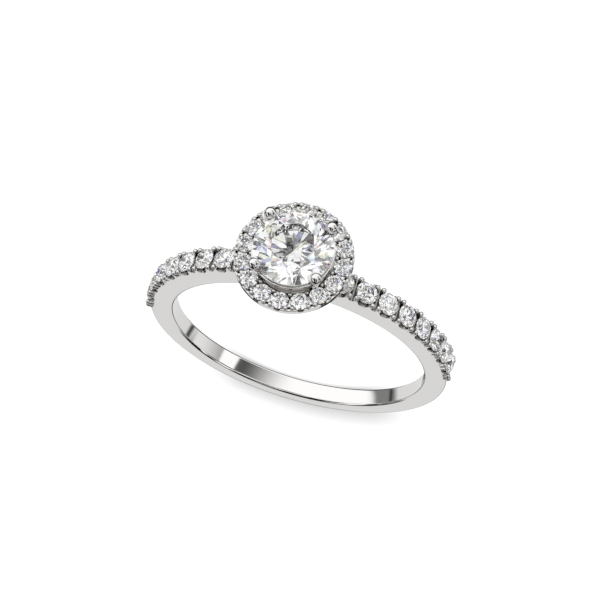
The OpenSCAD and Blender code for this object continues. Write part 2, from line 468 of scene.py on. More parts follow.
@dataclass(frozen=True)
class PaleTable:
    """A pale matt table top, lit from below, with a faint grain.

    A soft shadow is painted on it along the outside of the band's back, where the
    ring rests on it. The places of that painted shadow are in metres from the
    middle of the finger hole, and its turns are in radians from the band's back.
    """

    centre: Vector
    name: str = "pale_table"
    shade: float = 0.2
    glow: float = 0.95
    roughness: float = 0.9
    grains_per_m: float = 400.0
    grain_depth: float = 0.01
    shadow_depth: float = 0.46
    shadow_out: tuple[float, float] = (0.0104, 0.0146)
    shadow_in: tuple[float, float] = (0.0080, 0.0088)
    shadow_across: tuple[float, float] = (0.36, 0.78)

    def painted_shadow(self, bench: NodeBench, spot: Wire) -> Wire:
        """How dark the painted shadow makes the table beside the band's back.

        Args:
            bench: The material's nodes.
            spot: Object coordinates.

        Returns:
            The share of light that is missing.
        """
        across, along, _ = bench.parts(spot)
        along = along - self.centre.y
        radius = bench.length(across, along)
        turn = bench.math("ABSOLUTE", bench.math("ARCTAN2", across, 0.0 - along))
        near = 1.0 - bench.between(radius, *self.shadow_out)
        outside = bench.between(radius, *self.shadow_in)
        behind = 1.0 - bench.between(turn, *self.shadow_across)
        return near * outside * behind * self.shadow_depth

    def make(self) -> Material:
        """Build the material.

        Returns:
            The material, all of whose changes read Object coordinates.
        """
        material, bench, shader = start_finish(self.name)
        spot = bench.object_spot()
        grain = bench.noise(spot, self.grains_per_m)
        # Clear is the share of the table's colour and glow that the painted shadow leaves.
        clear = 1.0 - self.painted_shadow(bench, spot)
        bench.fill(shader, {
            "Base Color": bench.scaled(WHITE, clear * (self.shade + (grain - 0.5) * self.grain_depth)),
            "Emission Color": bench.scaled(WHITE, clear),
            "Emission Strength": self.glow,
            "Roughness": self.roughness,
            "Specular IOR Level": 0.0,
        })
        return material


# Meshes


def new_object(name: str, points: np.ndarray, faces: Sequence[Face]) -> Object:
    """Make an object of points and faces.

    Args:
        name: The piece's name.
        points: One row for each point, in the ring's millimetres.
        faces: The points of each face, outwards.

    Returns:
        The object, linked to the scene.
    """
    mesh = bpy.data.meshes.new(name)
    mesh.from_pydata([tuple(p) for p in points], [], [tuple(f) for f in faces])
    mesh.update()
    made = bpy.data.objects.new(name, mesh)
    bpy.context.scene.collection.objects.link(made)
    return made


def loop_grid(rows: np.ndarray) -> list[Face]:
    """Faces between the points of a grid that closes on itself both ways.

    Args:
        rows: The grid's points, as rows by columns by 3.

    Returns:
        Four-sided faces, numbered row after row.
    """
    count, width = rows.shape[:2]
    faces = []
    for row in range(count):
        this, after = row * width, (row + 1) % count * width
        for column in range(width):
            beside = (column + 1) % width
            faces.append((this + column, this + beside, after + beside, after + column))
    return faces


def arc(centre: Sequence[float], radius: float, start: float, end: float, steps: int) -> Outline:
    """Points of an arc in a plane, with both its ends.

    Args:
        centre: Its middle.
        radius: Its radius.
        start: Its first angle.
        end: Its last angle.
        steps: The number of chords.

    Returns:
        The points.
    """
    angles = [math.radians(start + (end - start) * k / steps) for k in range(steps + 1)]
    return [(centre[0] + radius * math.cos(a), centre[1] + radius * math.sin(a)) for a in angles]


def quarter_round(steps: int) -> Outline:
    """A rounding between two faces, as shares of its radius.

    Args:
        steps: The number of its chords.

    Returns:
        How far each point is in from the first face and from the second. The
        first point lies on the second face, and the last one on the first.
    """
    return [(1 - math.sin(a), 1 - math.cos(a)) for a in np.linspace(0.0, math.pi / 2, steps + 1)]


def compass(angles: np.ndarray) -> np.ndarray:
    """The directions at angles in a plane, as rows of two."""
    return np.stack([np.cos(np.radians(angles)), np.sin(np.radians(angles))], 1)


def unit(rows: np.ndarray) -> np.ndarray:
    """Rows, each brought to length 1."""
    return rows / np.linalg.norm(rows, axis=1)[:, None]


def revolved(outline: Outline, steps: int) -> Shape:
    """Turn an outline of radius and height about its own axis.

    Args:
        outline: Points from the axis or round a closed section. Points on the
            axis become poles.
        steps: The number of sides.

    Returns:
        The points and the faces, which point outwards for an outline that runs
        from the lowest point outwards and up.
    """
    angles = np.arange(steps) * 2 * math.pi / steps
    points: list[Triple] = []
    rings: list[list[int]] = []
    for radius, height in outline:
        if radius < ON_AXIS:
            rings.append([len(points)] * steps)
            points.append((0.0, 0.0, height))
        else:
            rings.append(list(range(len(points), len(points) + steps)))
            points.extend((radius * math.cos(a), radius * math.sin(a), height) for a in angles)
    closing = [rings[0]] if rings[0][0] != rings[0][-1] else []
    faces = []
    for low, high in zip(rings, rings[1:] + closing):
        for k in range(steps):
            n = (k + 1) % steps
            corner = [low[k], low[n], high[n], high[k]]
            face = [v for i, v in enumerate(corner) if v != corner[i - 1]]
            if len(face) > 2:
                faces.append(face)
    return np.array(points), faces


def rod(radius: float, length: float, steps: int) -> Shape:
    """A round rod that stands on the origin."""
    return revolved([(0.0, 0.0), (radius, 0.0), (radius, length), (0.0, length)], steps)


def joined(shapes: Sequence[Shape]) -> Shape:
    """Put shapes into one.

    Args:
        shapes: Their points and faces.

    Returns:
        The points and faces of all of them.
    """
    points, faces, first = [], [], 0
    for shape_points, shape_faces in shapes:
        points.append(shape_points)
        faces.extend(tuple(v + first for v in face) for face in shape_faces)
        first += len(shape_points)
    return np.vstack(points), faces


def signed_volume(mesh: Mesh) -> float:
    """A mesh's volume.

    Args:
        mesh: A closed mesh.

    Returns:
        The volume, below zero if the faces point inwards.
    """
    mesh.calc_loop_triangles()
    points = np.array([v.co for v in mesh.vertices])
    corners = np.array([t.vertices for t in mesh.loop_triangles])
    a, b, c = (points[corners[:, k]] for k in range(3))
    return float(np.einsum("ij,ij->i", a, np.cross(b, c)).sum() / 6)


def settle(piece: Object) -> None:
    """Make a piece's modifiers part of its mesh, and take them off.

    Args:
        piece: The piece.
    """
    bpy.context.view_layer.update()
    graph = bpy.context.evaluated_depsgraph_get()
    mesh = bpy.data.meshes.new_from_object(piece.evaluated_get(graph))
    mesh.name = piece.name
    piece.modifiers.clear()
    old = piece.data
    piece.data = mesh
    bpy.data.meshes.remove(old)


@dataclass(frozen=True)
class Seat:
    """A place on the ring: a point, the direction up from it and one along it."""

    point: Triple
    up: Triple
    along: Triple

    def carry(self, shape: Shape) -> Shape:
        """Move a shape from the seat's own frame onto the ring.

        Args:
            shape: Its points, with Z up from the seat, and its faces.

        Returns:
            Its points in the ring's frame and the same faces.
        """
        points, faces = shape
        up = np.array(self.up, float)
        along = np.array(self.along, float)
        return np.array(self.point) + points @ np.array([along, np.cross(up, along), up]), faces


class Workshop:
    """Cuts, smooths and hands over pieces."""

    EVEN_WEIGHT = 60

    def __init__(self, place: RingPlace) -> None:
        """Keep the ring's place."""
        self.place = place

    def cut(self, piece: Object, cutters: Sequence[Shape]) -> None:
        """Take cutters away from a piece.

        Args:
            piece: The piece, a closed mesh.
            cutters: Closed shapes clear of one another.
        """
        tool = new_object(piece.name + "_tool", *joined(cutters))
        change = piece.modifiers.new("cut", "BOOLEAN")
        change.operation = "DIFFERENCE"
        change.solver = "MANIFOLD"
        change.object = tool
        settle(piece)
        bpy.data.objects.remove(tool)

    def seat_stones(self, piece: Object, stones: Sequence[Stone]) -> None:
        """Cut the room of every stone from a piece."""
        self.cut(piece, [stone.room() for stone in stones])

    def smooth(self, piece: Object, crease: Crease) -> None:
        """Shade a piece smooth, with flat faces kept flat.

        Args:
            piece: The piece.
            crease: Which of its edges stay sharp.
        """
        mesh = piece.data
        mesh.polygons.foreach_set("use_smooth", [True] * len(mesh.polygons))
        mesh.set_sharp_from_angle(angle=math.radians(crease.value))
        even = piece.modifiers.new("even", "WEIGHTED_NORMAL")
        even.keep_sharp = True
        even.weight = self.EVEN_WEIGHT
        settle(piece)

    def hand_over(
        self, piece: Object, material: Material, node: str, crease: Crease = Crease.PLAIN
    ) -> Object:
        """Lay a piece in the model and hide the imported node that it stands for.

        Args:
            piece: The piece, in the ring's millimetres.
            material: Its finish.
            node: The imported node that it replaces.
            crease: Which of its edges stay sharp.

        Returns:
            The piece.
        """
        piece.data.transform(self.place.matrix())
        piece.data.update()
        piece.data.materials.clear()
        piece.data.materials.append(material)
        if crease is not Crease.FACETS:
            self.smooth(piece, crease)
        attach(piece, BODY)
        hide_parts(node)
        log.info("%s: %d faces", piece.name, len(piece.data.polygons))
        return piece

    def hand_over_metal(self, piece: Object, finish: Material, crease: Crease = Crease.PLAIN) -> Object:
        """Hand over a piece of the soldered mount."""
        return self.hand_over(piece, finish, MOUNT_NODE, crease)


# Repeats and bends


class ShapeTree:
    """A Geometry Nodes tree whose named inputs are set anew for each piece."""

    def __init__(self, name: str, kinds: dict[str, str]) -> None:
        """Start the tree.

        Args:
            name: Its name.
            kinds: The kind of each input's socket, by the input's name.
        """
        self.tree = bpy.data.node_groups.new(name, "GeometryNodeTree")
        face = self.tree.interface
        self.inputs = {
            label: face.new_socket(label, in_out="INPUT", socket_type=f"NodeSocket{kind}").identifier
            for label, kind in kinds.items()
        }
        face.new_socket("Shape", in_out="OUTPUT", socket_type="NodeSocketGeometry")
        self.bench = NodeBench(self.tree)
        self.given = self.bench.add("NodeGroupInput")

    def input(self, label: str) -> Wire:
        """One of the tree's inputs."""
        return self.bench.wire(self.given, label)

    def output(self, shape: Node) -> None:
        """Make a node's shape real, dress it in the finish and give it out.

        Args:
            shape: The last node of the shape.
        """
        real = self.bench.add("GeometryNodeRealizeInstances", inputs={0: self.bench.wire(shape)})
        dressed = self.bench.add("GeometryNodeSetMaterial", inputs={
            "Geometry": self.bench.wire(real), "Material": self.input("Finish")})
        self.bench.add("NodeGroupOutput", inputs={0: self.bench.wire(dressed)})

    def run(self, piece: Object, values: dict[str, object]) -> Object:
        """Run the tree on a piece.

        Args:
            piece: The piece that it starts from.
            values: The inputs' values, by name.

        Returns:
            The piece, whose plain mesh is now what the tree gave out.
        """
        change = piece.modifiers.new(self.tree.name, "NODES")
        change.node_group = self.tree
        for label, value in values.items():
            change[self.inputs[label]] = value
        settle(piece)
        return piece


class Repeater(ShapeTree):
    """Stands one form on every point of a mesh."""

    def __init__(self, name: str) -> None:
        """Build the tree.

        Args:
            name: Its name.
        """
        super().__init__(name, {
            "Points": "Geometry",
            "Form": "Object",
            "Smallest": "Float",
            "Largest": "Float",
            "Seed": "Int",
            "Finish": "Material",
        })
        bench = self.bench
        up = bench.add("GeometryNodeInputNamedAttribute", {"data_type": "FLOAT_VECTOR"}, {"Name": "up"})
        turn = bench.add("FunctionNodeAlignRotationToVector", {"axis": "Z"}, {"Vector": bench.wire(up)})
        size = bench.add("FunctionNodeRandomValue", {"data_type": "FLOAT"}, {
            2: self.input("Smallest"), 3: self.input("Largest"), "Seed": self.input("Seed")})
        form = bench.add("GeometryNodeObjectInfo", inputs={"Object": self.input("Form")})
        stood = bench.add("GeometryNodeInstanceOnPoints", inputs={
            "Points": self.input("Points"),
            "Instance": bench.wire(form, "Geometry"),
            "Rotation": bench.wire(turn),
            "Scale": bench.wire(size, 1),
        })
        self.output(stood)

    def stand(
        self, name: str, seats: Sequence[Seat], form: Shape, finish: Material, spread: float, seed: int
    ) -> Object:
        """Stand a form on every seat.

        Args:
            name: The new piece's name.
            seats: Where the form stands.
            form: Its points and faces, standing along Z.
            finish: Its material.
            spread: How much the copies differ in size, as a share.
            seed: The seed of those sizes.

        Returns:
            The copies as one plain mesh.
        """
        master = new_object(name + "_form", *form)
        piece = new_object(name, np.array([seat.point for seat in seats]), [])
        ups = piece.data.attributes.new("up", "FLOAT_VECTOR", "POINT")
        ups.data.foreach_set("vector", [value for seat in seats for value in seat.up])
        self.run(piece, {
            "Form": master,
            "Smallest": 1.0 - spread,
            "Largest": 1.0 + spread,
            "Seed": seed,
            "Finish": finish,
        })
        bpy.data.objects.remove(master)
        return piece


class HoopMaker(ShapeTree):
    """Carries a rounded bar round a circle."""

    def __init__(self, name: str, sides: int = 96, corner_steps: int = 5) -> None:
        """Build the tree.

        Args:
            name: Its name.
            sides: The number of straight runs round the hoop.
            corner_steps: The number of points that round each corner of the bar.
        """
        super().__init__(name, {
            "Radius": "Float",
            "Width": "Float",
            "Height": "Float",
            "Rounding": "Float",
            "Finish": "Material",
        })
        bench = self.bench
        path = bench.add("GeometryNodeCurvePrimitiveCircle", inputs={
            "Resolution": sides, "Radius": self.input("Radius")})
        section = bench.add("GeometryNodeCurvePrimitiveQuadrilateral", inputs={
            "Width": self.input("Width"), "Height": self.input("Height")})
        rounded = bench.add("GeometryNodeFilletCurve", {"mode": "POLY"}, {
            "Curve": bench.wire(section), "Count": corner_steps, "Radius": self.input("Rounding")})
        self.output(bench.add("GeometryNodeCurveToMesh", inputs={
            "Curve": bench.wire(path), "Profile Curve": bench.wire(rounded)}))

    def bend(self, name: str, sizes: dict[str, float], finish: Material) -> Object:
        """Make a hoop about Z, with its middle at the origin.

        Args:
            name: The new piece's name.
            sizes: Radius, Width, Height and Rounding.
            finish: Its material.

        Returns:
            The hoop as a plain mesh.
        """
        return self.run(new_object(name, np.zeros((1, 3)), []), {**sizes, "Finish": finish})


# Stones


# A brilliant's facets repeat eight times round its axis.
FOLDS = 8
FOLD = 360.0 / FOLDS
HALF_FOLD = FOLD / 2


@dataclass(frozen=True)
class Brilliant:
    """A round brilliant cut, with its girdle's middle at height 0.

    The girdle's half height and the table's and the facets' tips are shares of
    the radius. The gap is what is left free round the stone in the metal.
    """

    radius: float
    girdle_steps: int
    table_share: float = 0.56
    crown_angle: float = 34.5
    pavilion_angle: float = 40.8
    girdle_share: float = 0.03
    star_share: float = 0.5
    lower_share: float = 0.77
    gap: float = 0.02
    room_steps: int = 48

    def girdle_half(self) -> float:
        """Half the girdle's height at its thickest places."""
        return self.radius * self.girdle_share

    def table_height(self) -> float:
        """Height of the table."""
        rise = math.tan(math.radians(self.crown_angle))
        return self.girdle_half() + self.radius * (1 - self.table_share) * rise

    def culet_depth(self) -> float:
        """Depth of the point below."""
        return self.girdle_half() + self.radius * math.tan(math.radians(self.pavilion_angle))

    def _ring(self, radius: float, height: float, first: float) -> np.ndarray:
        """Eight points round the axis.

        Args:
            radius: Their distance from it.
            height: Their height.
            first: The first one's angle.

        Returns:
            One row for each point.
        """
        angles = np.radians(first + FOLD * np.arange(FOLDS))
        return np.stack([radius * np.cos(angles), radius * np.sin(angles), np.full(FOLDS, height)], 1)

    def _on_girdle(self, angle: float, height: float) -> np.ndarray:
        """A point of the girdle's round wall."""
        turn = math.radians(angle)
        return np.array([self.radius * math.cos(turn), self.radius * math.sin(turn), height])

    def _girdle_edge(self, tips: np.ndarray, height: float) -> np.ndarray:
        """Where the sixteen facets beside the girdle meet its round wall.

        Args:
            tips: The eight tips that those facets share, two each.
            height: The height at which neighbouring facets meet at the girdle.

        Returns:
            The edge's points, one for each step round the girdle.
        """
        steps = self.girdle_steps // (2 * FOLDS)
        edge = []
        for facet in range(2 * FOLDS):
            tip = tips[facet // 2]
            ends = [self._on_girdle(HALF_FOLD * (facet + k), height) for k in (0, 1)]
            normal = np.cross(ends[0] - tip, ends[1] - tip)
            for k in range(steps):
                point = self._on_girdle(HALF_FOLD * (facet + k / steps), 0.0)
                point[2] = tip[2] - normal[:2] @ (point[:2] - tip[:2]) / normal[2]
                edge.append(point)
        return np.array(edge)

    def _points(self) -> np.ndarray:
        """The stone's points.

        Returns:
            The table's corners, the stars' tips, the lower facets' tips, the
            girdle's upper and lower edge and the point below.
        """
        half = self.girdle_half()
        narrow = math.cos(math.radians(HALF_FOLD))
        crown = math.tan(math.radians(self.crown_angle))
        pavilion = math.tan(math.radians(self.pavilion_angle))
        table_r = self.radius * self.table_share
        star_r = table_r * narrow + self.star_share * (self.radius - table_r * narrow)
        lower_r = self.radius * (1 - self.lower_share)
        table = self._ring(table_r, self.table_height(), 0.0)
        stars = self._ring(star_r, half + (self.radius - star_r * narrow) * crown, HALF_FOLD)
        lowers = self._ring(lower_r, -half - (self.radius - lower_r * narrow) * pavilion, HALF_FOLD)
        above = self._girdle_edge(stars, half)
        below = self._girdle_edge(lowers, -half)
        return np.vstack([table, stars, lowers, above, below, [[0.0, 0.0, -self.culet_depth()]]])

    def shape(self) -> Shape:
        """The stone's points and facets.

        Returns:
            The points, and the faces with the table first and the girdle last.
        """
        count = self.girdle_steps
        step = count // (2 * FOLDS)
        star, lower, top = FOLDS, 2 * FOLDS, 3 * FOLDS
        low = top + count
        culet = low + count
        eighths, halves, back = range(FOLDS), range(2 * FOLDS), FOLDS - 1
        faces: list[Face] = [tuple(eighths)]
        faces += [(k, star + k, (k + 1) % FOLDS) for k in eighths]
        faces += [(k, star + (k + back) % FOLDS, top + 2 * step * k, star + k) for k in eighths]
        for i in halves:
            faces.append((star + i // 2, *(top + (step * i + k) % count for k in range(step + 1))))
        for i in halves:
            faces.append((lower + i // 2, *(low + (step * i + k) % count for k in range(step, -1, -1))))
        faces += [(culet, lower + k, low + 2 * step * k, lower + (k + back) % FOLDS) for k in eighths]
        for k in range(count):
            beside = (k + 1) % count
            faces.append((top + k, low + k, low + beside, top + beside))
        return self._points(), faces

    def room(self) -> Shape:
        """The round room that the stone needs in the metal.

        Returns:
            Its points and faces.
        """
        half, gap, wide = self.girdle_half(), self.gap, self.radius + self.gap
        crown = gap * math.tan(math.radians(self.crown_angle / 2))
        pavilion = gap * math.tan(math.radians(self.pavilion_angle / 2))
        deep = self.culet_depth() + gap / math.cos(math.radians(self.pavilion_angle))
        table_r, top = self.radius * self.table_share + crown, self.table_height() + gap
        outline = [(0.0, -deep), (wide, -half - pavilion), (wide, half + crown), (table_r, top), (0.0, top)]
        return revolved(outline, self.room_steps)


@dataclass(frozen=True)
class Stone:
    """One stone in its seat. Clear is the lightest level of its facets' tints."""

    node: str
    cut: Brilliant
    seat: Seat
    turn: float
    clear: float = 1.0
    level_spread: float = 0.015
    warm_spread: float = 0.012

    def tints(self, faces: Sequence[Face], chance: random.Random) -> list[float]:
        """Draw a tint for every facet.

        Args:
            faces: The facets.
            chance: The source of the tints.

        Returns:
            The red, green, blue and alpha of each facet's corners in turn.
        """
        colours: list[float] = []
        for face in faces:
            warm = chance.uniform(-self.warm_spread, self.warm_spread)
            level = self.clear - chance.uniform(0.0, self.level_spread)
            colours += [level * (1 + warm), level, level * (1 - warm), 1.0] * len(face)
        return colours

    def build(self, shop: Workshop, finish: Material, chance: random.Random) -> Object:
        """Make the stone, with a tint of its own on every facet.

        Args:
            shop: The workshop.
            finish: The stone's material.
            chance: The source of the facets' tints.

        Returns:
            The piece.
        """
        points, faces = self.cut.shape()
        angle = math.radians(self.turn)
        cos, sin = math.cos(angle), math.sin(angle)
        spin = np.array([[cos, sin, 0.0], [-sin, cos, 0.0], [0.0, 0.0, 1.0]])
        piece = new_object("gem_" + self.node, *self.seat.carry((points @ spin, faces)))
        tint = piece.data.color_attributes.new(TINT_NAME, "FLOAT_COLOR", "CORNER")
        tint.data.foreach_set("color", self.tints(faces, chance))
        girdle = len(faces) - self.cut.girdle_steps
        piece.data.polygons.foreach_set("use_smooth", [n >= girdle for n in range(len(faces))])
        return shop.hand_over(piece, finish, self.node, Crease.FACETS)

    def room(self) -> Shape:
        """The stone's room, in its seat."""
        return self.seat.carry(self.cut.room())


# The band


# The finger hole's radius, which the shoulders and the band share.
FINGER_R = 8.25


def grain_form(radius: float, foot: float) -> Shape:
    """A grain: a round top on a short foot that runs down into the metal.

    Args:
        radius: The top's radius.
        foot: How far down the foot runs.

    Returns:
        Its points and faces, with the top's middle at the origin.
    """
    foot_share, dome_start, dome_steps, sides = 0.8, -20.0, 7, 16
    dome = arc((0.0, 0.0), radius, dome_start, 90.0, dome_steps)
    return revolved([(0.0, -foot), (radius * foot_share, -foot), *dome[:-1], (0.0, radius)], sides)


@dataclass
class Shoulders:
    """The two rows of stones along the band, with their cuts and grains.

    The rim is the shoulders' outer face. Its middle is rim_rise nearer to the
    head than the finger hole's. A scallop is the round cut under a stone, a
    groove is the cut across the gap between two stones, and a lip is the
    rounding beside a cut.
    """

    count: int = 8
    first: float = 10.9
    step: float = 8.85
    rim_t: float = 1.52
    rim_rise: float = 0.25
    stone_rise: float = 0.03
    scallop_r: float = 0.35
    scallop_steps: int = 14
    lip_r: float = 0.025
    lip_steps: int = 4
    groove_r: float = 0.2
    groove_depth: float = 0.2
    groove_cant: float = 10.0
    groove_steps: int = 9
    grain_r: float = 0.16
    grain_foot: float = 0.32
    grain_side: float = 0.62
    grain_spread: float = 0.21
    grain_lift: float = 0.04
    grain_variety: float = 0.05
    grain_seed: int = 7
    ramp_angle: float = 3.0
    start_share: float = 0.72
    cut: Brilliant = field(default_factory=lambda: Brilliant(0.68, 32, gap=0.04))

    def start(self) -> float:
        """The angle at which the shoulder has its full height."""
        return self.first - self.step * self.start_share

    def stone_angle(self, number: float) -> float:
        """The angle of a stone, or of the gap half a number before it."""
        return self.first + number * self.step

    def rim(self, angle: float) -> float:
        """The rim's distance from the hole's middle at an angle.

        Args:
            angle: The angle above the middle of the hole.

        Returns:
            The distance.
        """
        turn = math.radians(angle)
        reach = FINGER_R + self.rim_t
        return self.rim_rise * math.sin(turn) + math.sqrt(reach**2 - (self.rim_rise * math.cos(turn)) ** 2)

    def seat(
        self, angle: float, side: Side, height: float, along: float = 0.0, beside: float = 0.0
    ) -> Seat:
        """A seat on the rim.

        Args:
            angle: Its angle above the middle of the hole.
            side: The shoulder.
            height: Its height over the rim.
            along: Its place along the band, up towards the head.
            beside: Its place along the finger hole.

        Returns:
            The seat.
        """
        turn = math.radians(angle)
        out = np.array([side.value * math.cos(turn), math.sin(turn), 0.0])
        up_band = np.array([-side.value * math.sin(turn), math.cos(turn), 0.0])
        point = out * (self.rim(angle) + height) + up_band * along + np.array([0.0, 0.0, beside])
        return Seat(tuple(point), tuple(out), tuple(up_band))

    def stones(self, chance: random.Random) -> list[Stone]:
        """Both rows of stones.

        Args:
            chance: The source of the stones' turns.

        Returns:
            The left row and the right row, each counted up from its lowest stone.
        """
        made = []
        for side in Side:
            for i in range(self.count):
                seat = self.seat(self.stone_angle(i), side, self.stone_rise)
                node = f"{side.name.lower()}_stone_{i + 1}"
                made.append(Stone(node, self.cut, seat, chance.uniform(0.0, FOLD)))
        return made

    def grain_seats(self, side: Side) -> list[Seat]:
        """Where one shoulder's grains stand, a pair at each side of every gap.

        Args:
            side: The shoulder.

        Returns:
            The seats. The gap beside the head has grains on its lower side alone.
        """
        seats = []
        for i in range(self.count + 1):
            angle = self.stone_angle(i - 0.5)
            for along in (-1, 1) if i < self.count else (-1,):
                for beside in (-1, 1):
                    seats.append(self.seat(
                        angle, side, self.grain_lift, along * self.grain_spread, beside * self.grain_side))
        return seats

    def notch(self, middle: float, shape: Outline) -> Outline:
        """Bend a cut's outline along the rim.

        Args:
            middle: The cut's angle.
            shape: Its points, along the band and up from the rim.

        Returns:
            The points as angles and distances.
        """
        reach = self.rim(middle)
        bent = [(middle + math.degrees(u / reach), v) for u, v in shape]
        return [(angle, self.rim(angle) + v) for angle, v in bent]

    def _with_lips(self, run: float, meet: float, bed: Outline) -> Outline:
        """Put a cut's bed between its lips.

        Args:
            run: How far the lips' middles are from the cut's.
            meet: The angle at which the lips meet the bed.
            bed: The bed's points.

        Returns:
            The cut's points, along the band and up from the rim.
        """
        left = arc((-run, -self.lip_r), self.lip_r, 90.0, meet, self.lip_steps)
        right = arc((run, -self.lip_r), self.lip_r, 180.0 - meet, 90.0, self.lip_steps)
        return left + bed + right

    def scallop(self) -> Outline:
        """The round cut under a stone.

        Returns:
            Its points, along the band and up from the rim.
        """
        run = math.sqrt((self.scallop_r + self.lip_r) ** 2 - self.lip_r**2)
        meet = math.degrees(math.asin(self.lip_r / (self.scallop_r + self.lip_r)))
        bowl = arc((0.0, 0.0), self.scallop_r, 180.0 + meet, 360.0 - meet, self.scallop_steps)
        return self._with_lips(run, meet, bowl[1:-1])

    def groove(self) -> Outline:
        """The oval cut across a gap.

        Returns:
            Its points, along the band and up from the rim.
        """
        bowl = arc((0.0, 0.0), 1.0, 180.0 + self.groove_cant, 360.0 - self.groove_cant, self.groove_steps)
        bed = [(self.groove_r * u, self.groove_depth * v - self.lip_r) for u, v in bowl]
        return self._with_lips(self.groove_r + self.lip_r, 0.0, bed)


@dataclass
class Band:
    """The band with the raised rims of its shoulders.

    A corner is where the ramp up to a shoulder begins or ends. It is softened
    over corner_run by corner_lift, and the plain outline's own points end
    corner_room before it. A tie is a point of the outline whose angle the
    finger hole shares: one in tie_every of the plain points, and one in each
    groove.
    """

    shoulders: Shoulders
    hole_edge_r: float = 0.15
    hole_edge_steps: int = 8
    back_w: float = 1.22
    head_w: float = 1.6
    back_t: float = 1.1
    side_t: float = 1.42
    edge_r: float = 0.08
    edge_steps: int = 4
    shoulder_edge_r: float = 0.02
    plain_step: float = 1.5
    corner_run: float = 0.35
    corner_room: float = 0.4
    corner_lift: float = 0.004
    ramp_shares: Triple = (0.15, 0.5, 0.85)
    tie_every: int = 4
    head_points: int = 8

    def taper(self) -> float:
        """How fast half the width grows towards the head."""
        top = FINGER_R + self.shoulders.rim_t + self.shoulders.rim_rise
        return (self.head_w - self.back_w) / 2 / top

    def plain_r(self, angle: float) -> float:
        """The plain band's outer distance at an angle.

        Args:
            angle: The angle above the middle of the hole.

        Returns:
            The distance.
        """
        back, side = FINGER_R + self.back_t, FINGER_R + self.side_t
        shift = (side**2 - back**2) / (2 * back)
        turn = math.radians(angle)
        return shift * math.sin(turn) + math.sqrt((back + shift) ** 2 - (shift * math.cos(turn)) ** 2)

    def _ramp(self) -> Outline:
        """The outline from the plain band up to the shoulder's rim.

        Returns:
            Its points as angles and distances.
        """
        rows = self.shoulders
        high = rows.start()
        low = high - rows.ramp_angle
        ramp = [(low - self.corner_run, self.plain_r(low - self.corner_run))]
        ramp.append((low, self.plain_r(low) + self.corner_lift))
        for share in self.ramp_shares:
            at = low + rows.ramp_angle * share
            ramp.append((at, self.plain_r(at) * (1 - share) + rows.rim(at) * share))
        ramp.append((high, rows.rim(high) - self.corner_lift))
        ramp.append((high + self.corner_run, rows.rim(high + self.corner_run)))
        return ramp

    def right_outline(self) -> tuple[Outline, list[int]]:
        """The outline of the right half, from the back to the head.

        Returns:
            Its points as angles and distances, and the numbers of the points
            whose angles the finger hole shares.
        """
        rows = self.shoulders
        low = rows.start() - rows.ramp_angle
        plain = np.arange(-90.0, low - self.corner_room, self.plain_step)
        outline = [(angle, self.plain_r(angle)) for angle in plain]
        ties = list(range(0, len(outline), self.tie_every))
        outline += self._ramp()
        ties.append(len(outline) - 1)
        for i in range(rows.count + 1):
            gap = rows.notch(rows.stone_angle(i - 0.5), rows.groove())
            ties.append(len(outline) + len(gap) // 2)
            outline += gap
            if i < rows.count:
                outline += rows.notch(rows.stone_angle(i), rows.scallop())
        rest = np.linspace(outline[-1][0], 90.0, self.head_points)[1:]
        outline += [(angle, rows.rim(angle)) for angle in rest]
        ties.append(len(outline) - 1)
        return outline, ties

    def _column(self, flat: np.ndarray, side: int, inset: float | np.ndarray) -> np.ndarray:
        """Points beside the middle plane.

        Args:
            flat: Their places across the ring and towards the head.
            side: Which side of the plane, as -1 or 1.
            inset: How far they are in from the band's side.

        Returns:
            One row for each point.
        """
        wide = self.back_w / 2 + np.maximum(flat[:, 1], 0.0) * self.taper() - inset
        return np.column_stack([flat, side * wide])

    def _whole_outline(self) -> tuple[np.ndarray, np.ndarray, np.ndarray]:
        """The outline all the way round, from the back up the right half.

        Returns:
            Its points across the ring and towards the head, the angles of the
            finger hole's points beside them, and the radius of the edge there.
        """
        half, ties = self.right_outline()
        angles, reach = (np.array(column) for column in zip(*half))
        flat = compass(angles) * reach[:, None]
        length = np.concatenate([[0.0], np.cumsum(np.linalg.norm(np.diff(flat, axis=0), axis=1))])
        inner = np.interp(length, length[ties], angles[ties])
        edge = np.where(angles < self.shoulders.start(), self.edge_r, self.shoulder_edge_r)
        return (
            np.vstack([flat, (flat[1:-1] * [-1, 1])[::-1]]),
            np.concatenate([inner, 180.0 - inner[1:-1][::-1]]),
            np.concatenate([edge, edge[1:-1][::-1]]),
        )

    def grid(self) -> np.ndarray:
        """The band's points, a closed section for each point of its outline.

        Returns:
            The points, as sections by columns by 3.
        """
        flat, inner, edge = self._whole_outline()
        run = unit(unit(flat - np.roll(flat, 1, 0)) + unit(np.roll(flat, -1, 0) - flat))
        out = np.stack([run[:, 1], -run[:, 0]], 1)
        hole = compass(inner)
        columns = []
        for side in (-1, 1):
            part = []
            for inset, rise in quarter_round(self.hole_edge_steps):
                reach = FINGER_R + self.hole_edge_r * rise
                part.append(self._column(hole * reach, side, self.hole_edge_r * inset))
            for depth, inset in quarter_round(self.edge_steps):
                part.append(self._column(flat - out * (edge * depth)[:, None], side, edge * inset))
            columns += part if side > 0 else part[::-1]
        return np.stack(columns, 1)

    def build(self, shop: Workshop, finish: Material, stones: Sequence[Stone]) -> Object:
        """Make the band and cut its seats.

        Args:
            shop: The workshop.
            finish: The metal.
            stones: The shoulders' stones.

        Returns:
            The piece.
        """
        rows = self.grid()
        piece = new_object("band", rows.reshape(-1, 3), loop_grid(rows))
        if signed_volume(piece.data) < 0:
            piece.data.flip_normals()
        shop.seat_stones(piece, stones)
        return shop.hand_over_metal(piece, finish)

